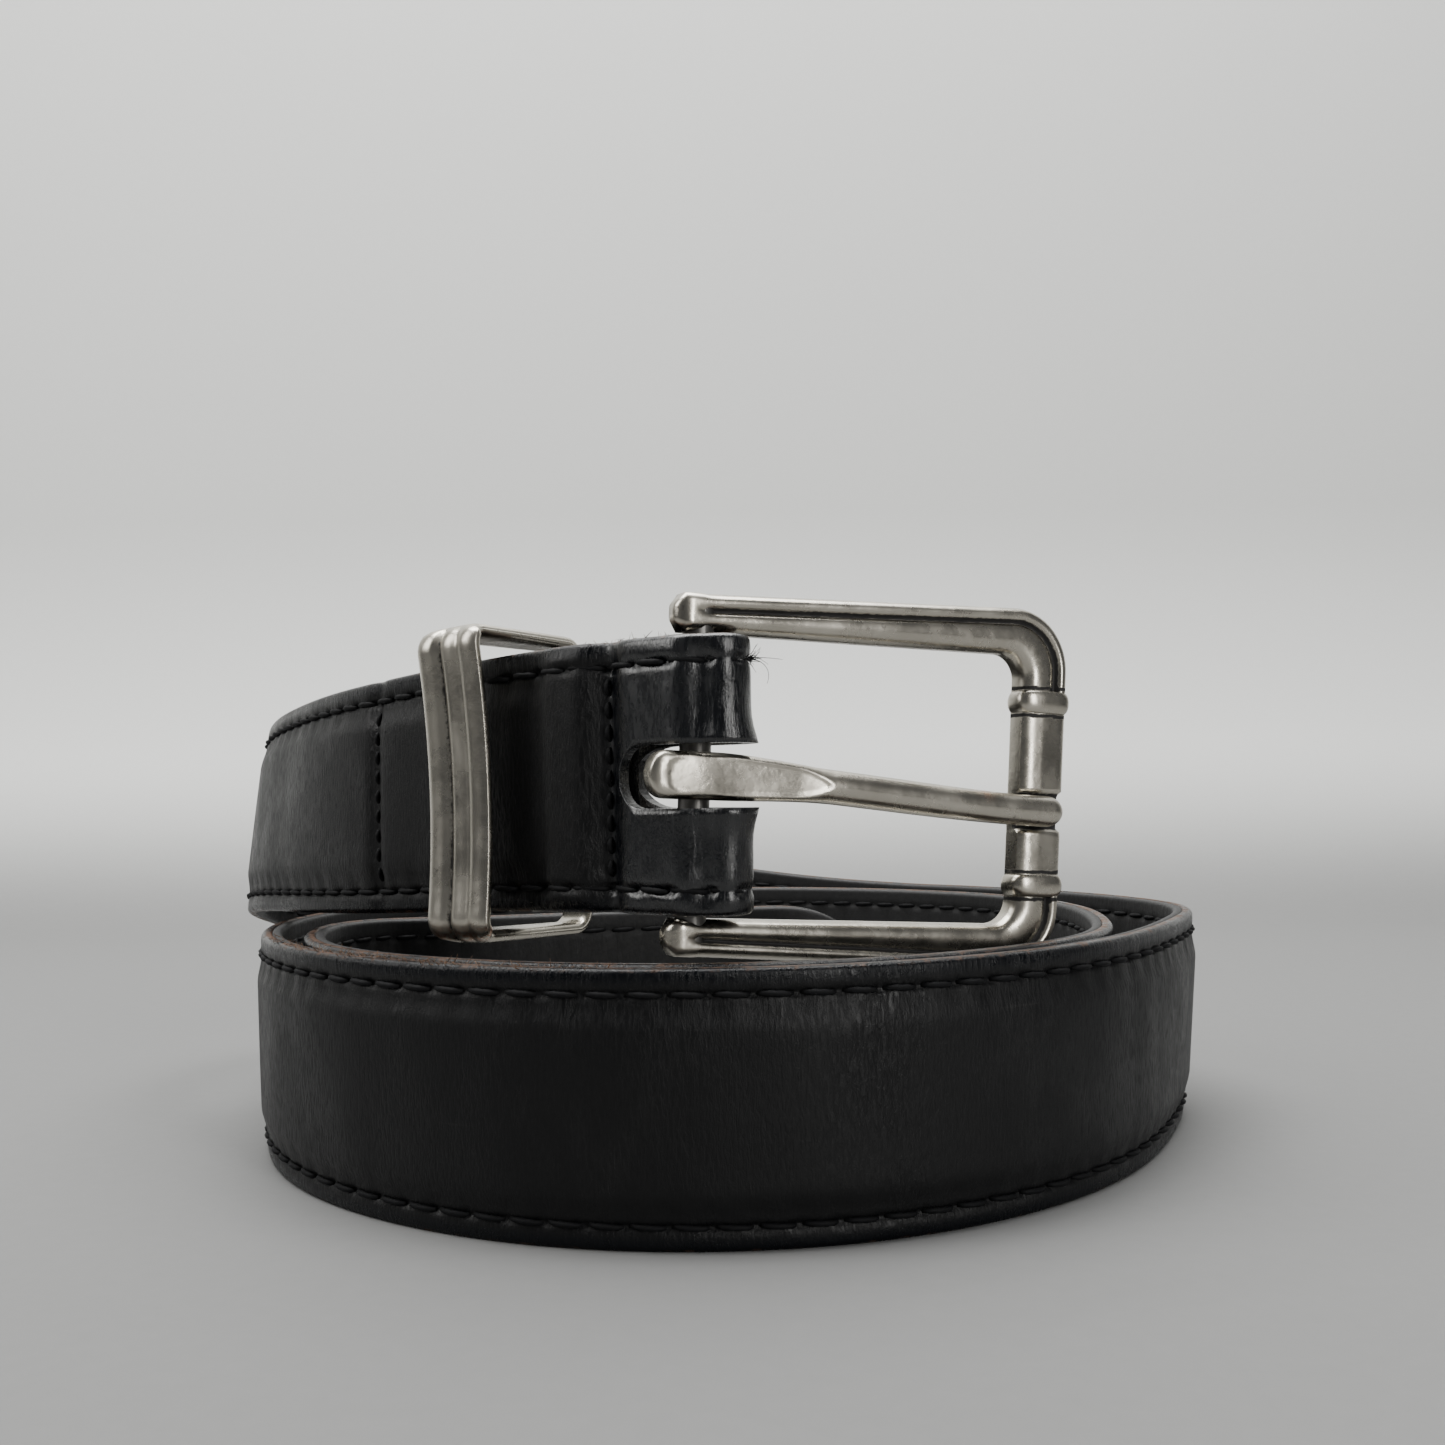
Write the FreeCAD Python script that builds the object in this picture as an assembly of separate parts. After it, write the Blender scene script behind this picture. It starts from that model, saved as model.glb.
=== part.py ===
import FreeCAD, Part
import math
import os

# Gentleman's leather belt, coiled and standing on the strap's lower edge.
# Millimetres, +Z up. The origin is the centre of the bounding box's base.

V = FreeCAD.Vector

# ---- strap ----
STRAP_WIDTH = 30.0
OUTER_PLY = 1.5            # black grain leather
CROWN = 0.6                # how far the filler raises the middle of the face
LINING_PLY = 1.3
PLY_GAP = 0.03             # glue line
EDGE_BEVEL = 0.55
EDGE_TRIM = 0.07           # the lower edge is planed flat by this much, so that it stands
SHOULDER_SHARE = 0.947     # where the face starts to roll over, as a share of the half width
FLAT_SHARE = 0.74          # outer end of the padded rise
PAD_SHARE = 0.56           # inner end of the padded rise
SECTION_SPACING = 11.0     # distance between strap cross-sections
SECTIONS_PER_FACE = 10     # the long faces are divided, so that they measure exactly
LINING_SETBACK = 0.1       # the lining's edges stand back from the outer ply's

# ---- fold round the heel bar, and the tab behind the strap ----
FOLD_REACH = 7.6           # bar centre to the far end of the fold
FOLD_HALF_DEPTH = 5.4      # bar centre to the face of the strap
TAB_LENGTH = 54.0
TAB_SETTLE = 13.0          # over this length the tab closes on to the lining
LINING_START = 10.0
FILLER_START = 15.0
FILLER_FADE = 8.0          # the padding rises and falls over this length
FILLER_FRONT_SHARE = 0.55  # the filler's faces, as shares of the half width
FILLER_BACK_SHARE = 0.71
FOLD_STEPS = 12
SLOT_HEIGHT = 6.9          # slot for the prong, cut through the fold
SLOT_REACH = 7.15
SLOT_BACK_REACH = 8.1      # the turned-back side is slotted further, clear of the prong's heel
SLOT_PROUD = 3.0           # how far the cutter runs past the fold
SLOT_CUT = 12.0            # and to each side of the bar
CROSS_STITCH_AT = (9.2, 49.5)

# ---- tail end ----
TIP_LENGTH = 17.0
TIP_END_WIDTH = 5.0
TIP_POWER = 2.6            # how full the tip's outline is
TIP_STEPS = 12
FILLER_END = 22.0
HOLE_RADIUS = 2.0
HOLE_COUNT = 5
HOLE_PITCH = 25.0
FIRST_HOLE = 92.0          # from the tip
HOLE_CUT_DEPTH = 6.0
HOLE_CUT_PROUD = 0.08      # the next wrap lies just outside

# ---- thread ----
STITCH_INSET = 2.75
THREAD_WIDTH = 0.7
THREAD_HEIGHT = 0.3
EDGE_THREAD_LIFT = 0.02    # clear of the leather
CROSS_THREAD_LIFT = 0.06

# ---- buckle ----
BAR_RADIUS = 1.75
LEG_GAP = 31.0             # between the legs, inside
LEG_HEIGHT = 4.1           # at the leg's tip
LEG_FLARE = 2.6            # the legs' outer sides spread by this much at the front bar
LEG_SPREAD = 0.8           # and their inner sides by this much
FRAME_DEPTH = 3.8
FRAME_REACH = 48.6         # bar centre to the outside of the front bar
FRONT_BAR_WIDTH = 6.4
LEG_TIP = 3.2              # the legs run this far past the bar
OUTER_CORNER = 7.5
INNER_CORNER = 3.0
FRAME_EDGE = 1.1           # rounding of the frame's long edges
COLLAR_OFFSET = 11.1       # collar centre from the point midway between the collars
COLLAR_MIDDLE = -0.4       # that point, from the middle of the front bar
COLLAR_LENGTH = 3.0
COLLAR_PROUD = 0.6
COLLAR_EDGE = 1.2
LEG_TIP_ROUNDING = 0.42    # as a share of the leg's height
BAR_END_SHARE = 0.7        # the bar's ends stop this far into the legs
NOTCH_DEPTH = 0.9
NOTCH_WIDTH = 5.0
FRAME_TURN = 24.5          # degrees about the vertical
FRAME_TILT = 2.8           # degrees, front bar down

# ---- prong ----
PRONG_CLEARANCE = 0.06
EYE_RADIUS = 4.2
PRONG_HEIGHT = 4.9
PRONG_THICKNESS = 3.4
PRONG_SHANK_RADIUS = 1.95
PRONG_BASE_LENGTH = 17.0
PRONG_HEEL = 7.0           # the base runs this far behind the bar, through the slot
PRONG_REACH = 47.0
PRONG_OVERLAP = 5.0        # the shank starts this far inside the base
PRONG_DROOP = 2.5          # the tip hangs this far below the eye's middle

# ---- keeper ----
KEEPER_AT = 27.0           # along the strap from the bar
KEEPER_HEIGHT = 37.2
KEEPER_DEPTH = 21.5
KEEPER_WALL = 1.8
KEEPER_FRONT_WIDTH = 10.0
KEEPER_REAR_WIDTH = 4.6
KEEPER_STANDOFF = 6.0      # face of the strap to the face of the keeper
KEEPER_CORNER = 2.6
KEEPER_SHOULDER = 1.0      # behind the front bar, where the arms start to narrow

REST_STATION = 22          # the station of ROUTE by which the flat lower edge is located

# The strap's route, from the buckle to the tail: x and y of the lower outer edge about
# the middle of the coil, height of that edge, and inward lean in degrees.
ROUTE = (
    (-9.0, -65.9, 34.9, 0.0), (-20.5, -57.3, 34.8, 0.5), (-33.5, -46.9, 34.2, 1.5),
    (-45.2, -37.0, 33.4, 3.0), (-56.8, -25.3, 32.6, 4.5), (-68.0, -9.8, 31.8, 6.5),
    (-77.8, 7.0, 30.6, 8.5), (-83.3, 24.5, 28.2, 8.5), (-81.0, 43.5, 24.0, 7.0),
    (-68.0, 60.5, 18.4, 5.0), (-47.0, 70.5, 12.3, 3.0), (-25.0, 75.0, 7.0, 1.0),
    (-3.0, 74.0, 3.2, 0.0), (18.0, 68.0, 0.9, 0.0), (37.0, 57.0, 0.0, 0.0),
    (53.0, 40.0, 0.0, 0.0), (63.5, 20.0, 0.0, -1.5), (66.8, -1.0, 0.0, -2.5),
    (60.2, -21.9, 0.0, -1.5), (49.6, -41.6, 0.0, 0.0), (33.8, -58.6, 0.0, 0.0),
    (12.3, -69.8, 0.0, 0.0), (-12.6, -71.7, 0.0, 0.0), (-36.5, -63.2, 0.0, 0.0),
    (-55.2, -46.3, 0.0, 0.0), (-66.4, -24.2, 0.0, 0.0), (-69.2, 0.0, 0.0, 0.0),
    (-62.5, 22.7, 0.0, 0.0), (-48.3, 40.5, 0.0, 0.0), (-29.8, 51.5, 0.0, 0.0),
    (-9.9, 56.1, 0.0, 0.0), (9.6, 54.2, 0.0, 0.0), (26.8, 46.3, 0.0, 0.0),
    (40.6, 34.1, 0.0, 0.0), (49.8, 18.1, 0.0, 0.0), (53.2, 0.0, 0.0, 0.0),
    (51.6, -19.2, 0.0, 0.0), (45.9, -38.5, 0.0, 0.0), (31.9, -55.3, 0.0, 0.0),
    (11.6, -66.0, 0.0, 0.0), (-12.0, -67.9, 0.0, 0.0), (-34.5, -59.8, 0.0, 0.0),
    (-51.6, -44.9, 0.0, 0.0), (-58.6, -31.0, 0.0, 0.0), (-61.0, -19.5, 0.0, 0.0),
    (-60.0, -9.5, 0.0, 0.0), (-54.5, -3.2, 0.0, 0.0), (-45.5, -1.8, 0.0, 0.0),
    (-34.0, 0.8, 0.0, 0.0), (-20.0, 4.6, 0.0, 0.0), (-6.0, 8.2, 0.0, 0.0),
    (8.0, 11.3, 0.0, 0.0), (20.0, 13.8, 0.0, 0.0),
)


def natural_spline(knots, values):
    """Second derivatives of the natural cubic spline through values at knots."""
    count = len(knots)
    upper = [0.0] * count
    rhs = [0.0] * count
    for i in range(1, count - 1):
        before = knots[i] - knots[i - 1]
        after = knots[i + 1] - knots[i]
        slope_change = (values[i + 1] - values[i]) / after - (values[i] - values[i - 1]) / before
        pivot = 2.0 * (before + after) - before * upper[i - 1]
        upper[i] = after / pivot
        rhs[i] = (6.0 * slope_change - before * rhs[i - 1]) / pivot
    second = [0.0] * count
    for i in range(count - 2, 0, -1):
        second[i] = rhs[i] - upper[i] * second[i + 1]
    return second


class Route:
    """The smooth line of the strap's lower outer edge, by distance from the bar."""

    def __init__(self, stations):
        self.knots = [0.0]
        for a, b in zip(stations, stations[1:]):
            self.knots.append(self.knots[-1] + math.dist(a[:3], b[:3]))
        self.columns = [[station[k] for station in stations] for k in range(4)]
        self.seconds = [natural_spline(self.knots, column) for column in self.columns]
        self.length = self.knots[-1]

    def value(self, column, s):
        knots = self.knots
        i = 0
        while i < len(knots) - 2 and s > knots[i + 1]:
            i += 1
        h = knots[i + 1] - knots[i]
        a = (knots[i + 1] - s) / h
        b = 1.0 - a
        y = self.columns[column]
        m = self.seconds[column]
        bend = (a ** 3 - a) * m[i] + (b ** 3 - b) * m[i + 1]
        return a * y[i] + b * y[i + 1] + bend * h * h / 6.0

    def place(self, s):
        """Foot of the section at s, and its along, up and outward directions."""
        foot = V(self.value(0, s), self.value(1, s), max(self.value(2, s), 0.0))
        step = 0.05
        low = max(s - step, 0.0)
        high = min(s + step, self.length)
        along = V(*[self.value(k, high) - self.value(k, low) for k in range(3)]).normalize()
        out = V(0, 0, 1).cross(along).normalize()
        up = along.cross(out)
        lean = math.radians(self.value(3, s))
        leaning_up = up * math.cos(lean) - out * math.sin(lean)
        leaning_out = out * math.cos(lean) + up * math.sin(lean)
        return foot, along, leaning_up, leaning_out


route = Route(ROUTE)
half_width = STRAP_WIDTH / 2
bar_foot, bar_along, bar_up, bar_out = route.place(0.0)
bar_centre = bar_foot - bar_out * FOLD_HALF_DEPTH + bar_up * half_width


def smooth(x):
    x = min(max(x, 0.0), 1.0)
    return x * x * (3.0 - 2.0 * x)


def front_section(s):
    """Section frame on the main run of the strap."""
    foot, along, up, out = route.place(s)
    return foot + up * half_width, up, out


def fold_section(turn):
    """Section frame on the fold, turn running from 0 at the face to pi at the back."""
    point = (bar_centre + bar_out * (FOLD_HALF_DEPTH * math.cos(turn))
             - bar_along * (FOLD_REACH * math.sin(turn)))
    out = (bar_out * (FOLD_REACH * math.cos(turn))
           - bar_along * (FOLD_HALF_DEPTH * math.sin(turn))).normalize()
    return point, bar_up, out


def tab_section(s):
    """Section frame on the folded-back tab, whose grain side faces the coil's middle."""
    foot, along, up, out = route.place(s)
    settled = 2 * CROWN + 2 * OUTER_PLY + LINING_PLY + 3 * PLY_GAP
    settled_at = smooth(s / TAB_SETTLE)
    depth = 2 * FOLD_HALF_DEPTH * (1 - settled_at) + settled * settled_at
    return foot + up * half_width - out * depth, up, out * -1.0


def crown_at(s):
    """The filler's rise of the strap's face, by distance from the bar."""
    near = smooth((s - FILLER_START) / FILLER_FADE)
    far = smooth((route.length - FILLER_END - s) / FILLER_FADE)
    return CROWN * near * far


def width_at(s):
    """Half width of the strap: full, then rounded off over the tail's tip."""
    left = route.length - s
    if left >= TIP_LENGTH:
        return half_width
    x = 1.0 - left / TIP_LENGTH
    least = TIP_END_WIDTH / 2
    return least + (half_width - least) * math.sqrt(max(1.0 - x ** TIP_POWER, 0.0))


def outer_profile(half, crown):
    """Corners (outward, up) of the outer ply; its middle stands crown above its edges."""
    shoulder = half * SHOULDER_SHARE
    flat = half * FLAT_SHARE
    pad = half * PAD_SHARE
    edge = -CROWN
    middle = crown - CROWN
    upper = [(edge - EDGE_BEVEL, half), (edge, shoulder), (edge, flat), (middle, pad)]
    lower = [(o, -w) for o, w in reversed(upper)]
    back = [(edge - OUTER_PLY, -half), (edge - OUTER_PLY, -flat), (middle - OUTER_PLY, -pad),
            (middle - OUTER_PLY, pad), (edge - OUTER_PLY, flat), (edge - OUTER_PLY, half)]
    return upper + lower + back


def filler_profile(half):
    """Corners of the filler between the plies."""
    front = -OUTER_PLY - PLY_GAP
    back = -OUTER_PLY - CROWN
    near = half * FILLER_FRONT_SHARE
    far = half * FILLER_BACK_SHARE
    return [(front, near), (front, -near), (back, -far), (back, far)]


def lining_profile(half):
    """Corners of the lining ply."""
    front = -OUTER_PLY - CROWN - 2 * PLY_GAP
    back = front - LINING_PLY
    edge = half - LINING_SETBACK
    shoulder = half * SHOULDER_SHARE
    return [(front, edge), (front, -edge), (back + EDGE_BEVEL, -edge), (back, -shoulder),
            (back, shoulder), (back + EDGE_BEVEL, edge)]


def stretch(curve, start, end):
    """The edge between two of the sections that a curve was drawn through."""
    knots = curve.getKnots()
    piece = curve.copy()
    piece.segment(knots[start], knots[end])
    return piece.toShape()


def strip(frames, profiles):
    """Closed solid through the profile corners of successive section frames."""
    rings = []
    for (centre, up, out), profile in zip(frames, profiles):
        rings.append([centre + out * o + up * w for o, w in profile])
    curves = []
    for k in range(len(rings[0])):
        curve = Part.BSplineCurve()
        curve.interpolate([ring[k] for ring in rings])
        curves.append(curve)
    faces = []
    last = len(rings) - 1
    for start in range(0, last, SECTIONS_PER_FACE):
        end = min(start + SECTIONS_PER_FACE, last)
        edges = [stretch(curve, start, end) for curve in curves]
        faces += [Part.makeRuledSurface(edges[k - 1], edges[k]) for k in range(len(edges))]
    for ring in (rings[0], rings[-1]):
        faces.append(Part.Face(Part.makePolygon(ring + ring[:1])))
    shell = Part.makeShell(faces)
    shell.sewShape()
    solid = Part.Solid(Part.Shell(shell.Faces))
    if solid.Volume < 0:
        solid.reverse()
    return solid


def stations(start, end, spacing):
    """Evenly spaced distances from start to end."""
    count = max(int(math.ceil(abs(end - start) / spacing)), 1)
    return [start + (end - start) * i / count for i in range(count + 1)]


def main_stations(start):
    """Section distances from start to the tip, close together where the tip narrows."""
    bend_start = route.length - TIP_LENGTH
    tip = []
    for i in range(1, TIP_STEPS + 1):
        x = math.sin(i / TIP_STEPS * math.pi / 2)
        tip.append(bend_start + TIP_LENGTH * x)
    tip[-1] = route.length - 0.001
    return stations(start, bend_start, SECTION_SPACING / 2) + tip


def make_outer_strap():
    frames = []
    profiles = []
    for s in stations(TAB_LENGTH, SECTION_SPACING / 4, SECTION_SPACING / 4):
        frames.append(tab_section(s))
        profiles.append(outer_profile(half_width, 0.0))
    for i in range(FOLD_STEPS + 1):
        frames.append(fold_section(math.pi * (1 - i / FOLD_STEPS)))
        profiles.append(outer_profile(half_width, 0.0))
    for s in main_stations(SECTION_SPACING / 4):
        frames.append(front_section(s))
        profiles.append(outer_profile(width_at(s), crown_at(s)))
    return strip(frames, profiles)


def make_lining():
    places = main_stations(LINING_START)
    frames = [front_section(s) for s in places]
    profiles = [lining_profile(width_at(s)) for s in places]
    return strip(frames, profiles)


def make_filler():
    start = FILLER_START + FILLER_FADE
    end = route.length - FILLER_END - FILLER_FADE
    places = stations(start, end, SECTION_SPACING / 2)
    frames = [front_section(s) for s in places]
    profiles = [filler_profile(half_width) for _ in places]
    return strip(frames, profiles)


def thread_profile(half, side):
    """A row of edge stitches, as one low band on the strap's face."""
    middle = side * half * (1 - STITCH_INSET / half_width)
    low = -CROWN + EDGE_THREAD_LIFT
    high = low + THREAD_HEIGHT
    near = middle - THREAD_WIDTH / 2
    far = middle + THREAD_WIDTH / 2
    return [(low, near), (low, far), (high, far), (high, near)]


def make_edge_stitches(side):
    places = main_stations(0.0)[:-2]
    frames = [front_section(s) for s in places]
    profiles = [thread_profile(width_at(s), side) for s in places]
    return strip(frames, profiles)


def make_cross_stitches(s):
    """A row across the strap, following the crown of its face."""
    crown = crown_at(s)
    reach = half_width - STITCH_INSET - THREAD_WIDTH
    pad = half_width * PAD_SHARE
    flat = half_width * FLAT_SHARE
    line = [(-CROWN, -reach), (-CROWN, -flat), (crown - CROWN, -pad),
            (crown - CROWN, pad), (-CROWN, flat), (-CROWN, reach)]
    low = [(o + CROSS_THREAD_LIFT, w) for o, w in line]
    high = [(o + CROSS_THREAD_LIFT + THREAD_HEIGHT, w) for o, w in reversed(line)]
    centre, up, out = front_section(s)
    corners = [centre + out * o + up * w for o, w in low + high]
    along = route.place(s)[1]
    face = Part.Face(Part.makePolygon(corners + corners[:1]))
    face.translate(along * (-THREAD_WIDTH / 2))
    return face.extrude(along * THREAD_WIDTH)


def floor_cutter():
    """Everything below the plane that the strap stands on."""
    reach = 2 * STRAP_WIDTH * math.pi
    return Part.makeBox(2 * reach, 2 * reach, STRAP_WIDTH, V(-reach, -reach, EDGE_TRIM - STRAP_WIDTH))


def hole_cutters():
    """The punched holes near the tail."""
    holes = []
    for k in range(HOLE_COUNT):
        centre, up, out = front_section(route.length - FIRST_HOLE - k * HOLE_PITCH)
        start = centre - out * HOLE_CUT_DEPTH
        holes.append(Part.makeCylinder(HOLE_RADIUS, HOLE_CUT_DEPTH + HOLE_CUT_PROUD, start, out))
    return holes


def slot_body(reach, top):
    """A slot with a round end, cut from below up to a height, in the bar's own frame."""
    round_end = SLOT_HEIGHT / 2
    start = round_end - reach
    box = Part.makeBox(FOLD_REACH + SLOT_PROUD - start, SLOT_HEIGHT, SLOT_CUT + top,
                       V(start, -round_end, -SLOT_CUT))
    return box.fuse(Part.makeCylinder(round_end, SLOT_CUT + top, V(start, 0, -SLOT_CUT), V(0, 0, 1)))


def slot_cutter():
    """The prong's slot: one reach through both sides of the fold, a longer one behind."""
    slot = slot_body(SLOT_REACH, SLOT_CUT).fuse(slot_body(SLOT_BACK_REACH, 0))
    slot.Placement = placement(bar_along * -1.0, bar_up, bar_out, bar_centre)
    return slot


def placement(x_axis, y_axis, z_axis, origin):
    """Placement that carries the local axes to three perpendicular directions."""
    matrix = FreeCAD.Matrix(x_axis.x, y_axis.x, z_axis.x, origin.x,
                            x_axis.y, y_axis.y, z_axis.y, origin.y,
                            x_axis.z, y_axis.z, z_axis.z, origin.z,
                            0, 0, 0, 1)
    return FreeCAD.Placement(matrix)


def buckle_placement():
    """Local x to the front bar, y up the heel bar, z outward."""
    turn = math.radians(FRAME_TURN)
    tilt = math.radians(FRAME_TILT)
    forward = V(math.cos(turn) * math.cos(tilt), math.sin(turn) * math.cos(tilt), -math.sin(tilt))
    up = V(math.sin(tilt) * math.cos(turn), math.sin(tilt) * math.sin(turn), math.cos(tilt))
    return placement(forward, up, forward.cross(up), bar_centre)


def rounded_outline(points, radii):
    """Closed wire through points, with an arc of the given radius at each corner."""
    edges = []
    starts = []
    ends = []
    for i, corner in enumerate(points):
        to_before = (points[i - 1] - corner).normalize()
        to_after = (points[(i + 1) % len(points)] - corner).normalize()
        half_angle = to_before.getAngle(to_after) / 2
        setback = radii[i] / math.tan(half_angle)
        start = corner + to_before * setback
        end = corner + to_after * setback
        bisector = (to_before + to_after).normalize()
        middle = corner + bisector * (radii[i] / math.sin(half_angle) - radii[i])
        edges.append(Part.Arc(start, middle, end).toShape())
        starts.append(start)
        ends.append(end)
    sides = []
    for i, start in enumerate(starts):
        sides.append(edges[i])
        sides.append(Part.LineSegment(ends[i], starts[(i + 1) % len(starts)]).toShape())
    return Part.Wire(sides)


def make_frame():
    inner = LEG_GAP / 2
    tip = inner + LEG_HEIGHT
    outer = tip + LEG_FLARE
    window = FRAME_REACH - FRONT_BAR_WIDTH
    spread = inner + LEG_SPREAD
    points = [V(-LEG_TIP, tip, 0), V(-LEG_TIP, inner, 0), V(window, spread, 0),
              V(window, -spread, 0), V(-LEG_TIP, -inner, 0), V(-LEG_TIP, -tip, 0),
              V(FRAME_REACH, -outer, 0), V(FRAME_REACH, outer, 0)]
    round_tip = LEG_HEIGHT * LEG_TIP_ROUNDING
    radii = [round_tip, round_tip, INNER_CORNER, INNER_CORNER, round_tip, round_tip,
             OUTER_CORNER, OUTER_CORNER]
    face = Part.Face(rounded_outline(points, radii))
    face.translate(V(0, 0, -FRAME_DEPTH / 2))
    body = face.extrude(V(0, 0, FRAME_DEPTH))
    rims = [e for e in body.Edges if abs(abs(e.CenterOfMass.z) - FRAME_DEPTH / 2) < 1e-6]
    body = body.makeFillet(FRAME_EDGE, rims)
    middle = FRAME_REACH - FRONT_BAR_WIDTH / 2
    for side in (-1, 1):
        width = FRONT_BAR_WIDTH + 2 * COLLAR_PROUD
        depth = FRAME_DEPTH + 2 * COLLAR_PROUD
        low = COLLAR_MIDDLE + side * COLLAR_OFFSET - COLLAR_LENGTH / 2
        corner = V(middle - width / 2, low, -depth / 2)
        collar = Part.makeBox(width, COLLAR_LENGTH, depth, corner)
        body = body.fuse(collar.makeFillet(COLLAR_EDGE, collar.Edges))
    notch = Part.makeBox(FRONT_BAR_WIDTH + 2, NOTCH_WIDTH, NOTCH_DEPTH + 2,
                         V(window - 1, -NOTCH_WIDTH / 2 - PRONG_DROOP, FRAME_DEPTH / 2 - NOTCH_DEPTH))
    bore = Part.makeCylinder(BAR_RADIUS, 2 * bar_half_length(), V(0, -bar_half_length(), 0), V(0, 1, 0))
    return body.cut(notch).cut(bore)


def bar_half_length():
    """The bar's ends stop inside the legs."""
    return LEG_GAP / 2 + LEG_HEIGHT * BAR_END_SHARE


def make_bar():
    half = bar_half_length()
    return Part.makeCylinder(BAR_RADIUS, 2 * half, V(0, -half, 0), V(0, 1, 0))


def make_prong():
    """An eye round the bar, a flat base, then a round shank lying in the notch."""
    half = PRONG_HEIGHT / 2
    low = V(0, -half, 0)
    up = V(0, 1, 0)
    eye = Part.makeCylinder(EYE_RADIUS, PRONG_HEIGHT, low, up)
    bore = Part.makeCylinder(BAR_RADIUS + PRONG_CLEARANCE, PRONG_HEIGHT, low, up)
    lie = FRAME_DEPTH / 2 - NOTCH_DEPTH + PRONG_SHANK_RADIUS + PRONG_CLEARANCE
    rise = EYE_RADIUS - PRONG_THICKNESS
    heel_round = PRONG_THICKNESS / 2
    heel = heel_round - PRONG_HEEL
    base = Part.makeBox(PRONG_BASE_LENGTH - heel, PRONG_HEIGHT, PRONG_THICKNESS, V(heel, -half, rise))
    heel_end = Part.makeCylinder(heel_round, PRONG_HEIGHT, V(heel, -half, rise + heel_round), up)
    nose = V(half - PRONG_HEEL, 0, rise)
    plan = Part.makeBox(PRONG_BASE_LENGTH - nose.x, PRONG_HEIGHT, PRONG_THICKNESS, nose - V(0, half, 0))
    plan = plan.fuse(Part.makeCylinder(half, PRONG_THICKNESS, nose, V(0, 0, 1)))
    base = base.fuse(heel_end).common(plan)
    shank_start = V(PRONG_BASE_LENGTH - PRONG_OVERLAP, 0, rise + PRONG_THICKNESS / 2)
    shank_end = V(PRONG_REACH - PRONG_SHANK_RADIUS, -PRONG_DROOP, lie)
    run = shank_end - shank_start
    shank = Part.makeCylinder(PRONG_SHANK_RADIUS, run.Length, shank_start, run)
    ball = Part.makeSphere(PRONG_SHANK_RADIUS, shank_end)
    body = eye.fuse([base, shank, ball]).removeSplitter()
    return body.cut(bore)


def make_keeper():
    """A closed loop round the strap, wide at the front and narrow behind."""
    centre, up, out = front_section(KEEPER_AT)
    half = KEEPER_HEIGHT / 2
    inside = half - KEEPER_WALL

    def loop(height, near, far, corner):
        points = [V(near, height, 0), V(near, -height, 0), V(far, -height, 0), V(far, height, 0)]
        return Part.Face(rounded_outline(points, [corner] * 4))

    outer = loop(half, -KEEPER_DEPTH, 0.0, KEEPER_CORNER)
    hollow = loop(inside, -KEEPER_DEPTH + KEEPER_WALL, -KEEPER_WALL, KEEPER_CORNER - KEEPER_WALL)
    band = outer.cut(hollow)
    band.translate(V(0, 0, -KEEPER_FRONT_WIDTH / 2))
    body = band.extrude(V(0, 0, KEEPER_FRONT_WIDTH))
    front = KEEPER_FRONT_WIDTH / 2
    rear = KEEPER_REAR_WIDTH / 2
    shoulder = -KEEPER_WALL - KEEPER_SHOULDER
    plan = [V(1, 0, front), V(shoulder, 0, front), V(-KEEPER_DEPTH - 1, 0, rear),
            V(-KEEPER_DEPTH - 1, 0, -rear), V(shoulder, 0, -front), V(1, 0, -front)]
    taper = Part.Face(Part.makePolygon(plan + plan[:1]))
    taper.translate(V(0, -half - 1, 0))
    body = body.common(taper.extrude(V(0, KEEPER_HEIGHT + 2, 0)))
    body.Placement = placement(out, up, out.cross(up), centre + out * KEEPER_STANDOFF)
    return body


def build():
    """Every piece by name, still about the middle of the coil."""
    holes = hole_cutters()
    pieces = {
        "outer_strap": make_outer_strap().cut([slot_cutter(), floor_cutter()] + holes),
        "strap_filler": make_filler().cut(holes),
        "lining_strap": make_lining().cut(holes),
        "edge_stitches_upper": make_edge_stitches(1),
        "edge_stitches_lower": make_edge_stitches(-1),
        "cross_stitches_fold": make_cross_stitches(CROSS_STITCH_AT[0]),
        "cross_stitches_tab": make_cross_stitches(CROSS_STITCH_AT[1]),
        "keeper": make_keeper(),
    }
    metal = {"buckle_frame": make_frame(), "heel_bar": make_bar(), "prong": make_prong()}
    for name, shape in metal.items():
        shape.Placement = buckle_placement()
        pieces[name] = shape
    return pieces


def main():
    os.makedirs("parts", exist_ok=True)
    pieces = build()
    box = FreeCAD.BoundBox()
    for shape in pieces.values():
        box.add(shape.optimalBoundingBox(True, False))
    shift = V(-box.Center.x, -box.Center.y, -box.ZMin)
    for name, shape in pieces.items():
        shape.translate(shift)
        shape.exportStep("parts/" + name + ".step")
        print(name, shape.ShapeType, len(shape.Solids), shape.isValid(), round(shape.Volume, 1))
    bar = bar_centre + shift
    along = route.place(KEEPER_AT)[1]
    print("shift", shift, "size", box.XLength, box.YLength, box.ZLength)
    print("bar", bar, "axis", buckle_placement().Rotation.multVec(V(0, 1, 0)))
    print("keeper along", along, "strap length", route.length)
    flats = [face for face in pieces["outer_strap"].Faces
             if isinstance(face.Surface, Part.Plane) and face.BoundBox.ZMax < PLY_GAP]
    foot, _, _, out = route.place(route.knots[REST_STATION])
    rest = foot + shift - out * ((EDGE_BEVEL + OUTER_PLY) / 2 + CROWN)
    print("rest point", V(rest.x, rest.y, 0), "flat areas", [round(face.Area, 1) for face in flats])


if __name__ == "__main__":
    main()
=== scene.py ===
import math

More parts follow.
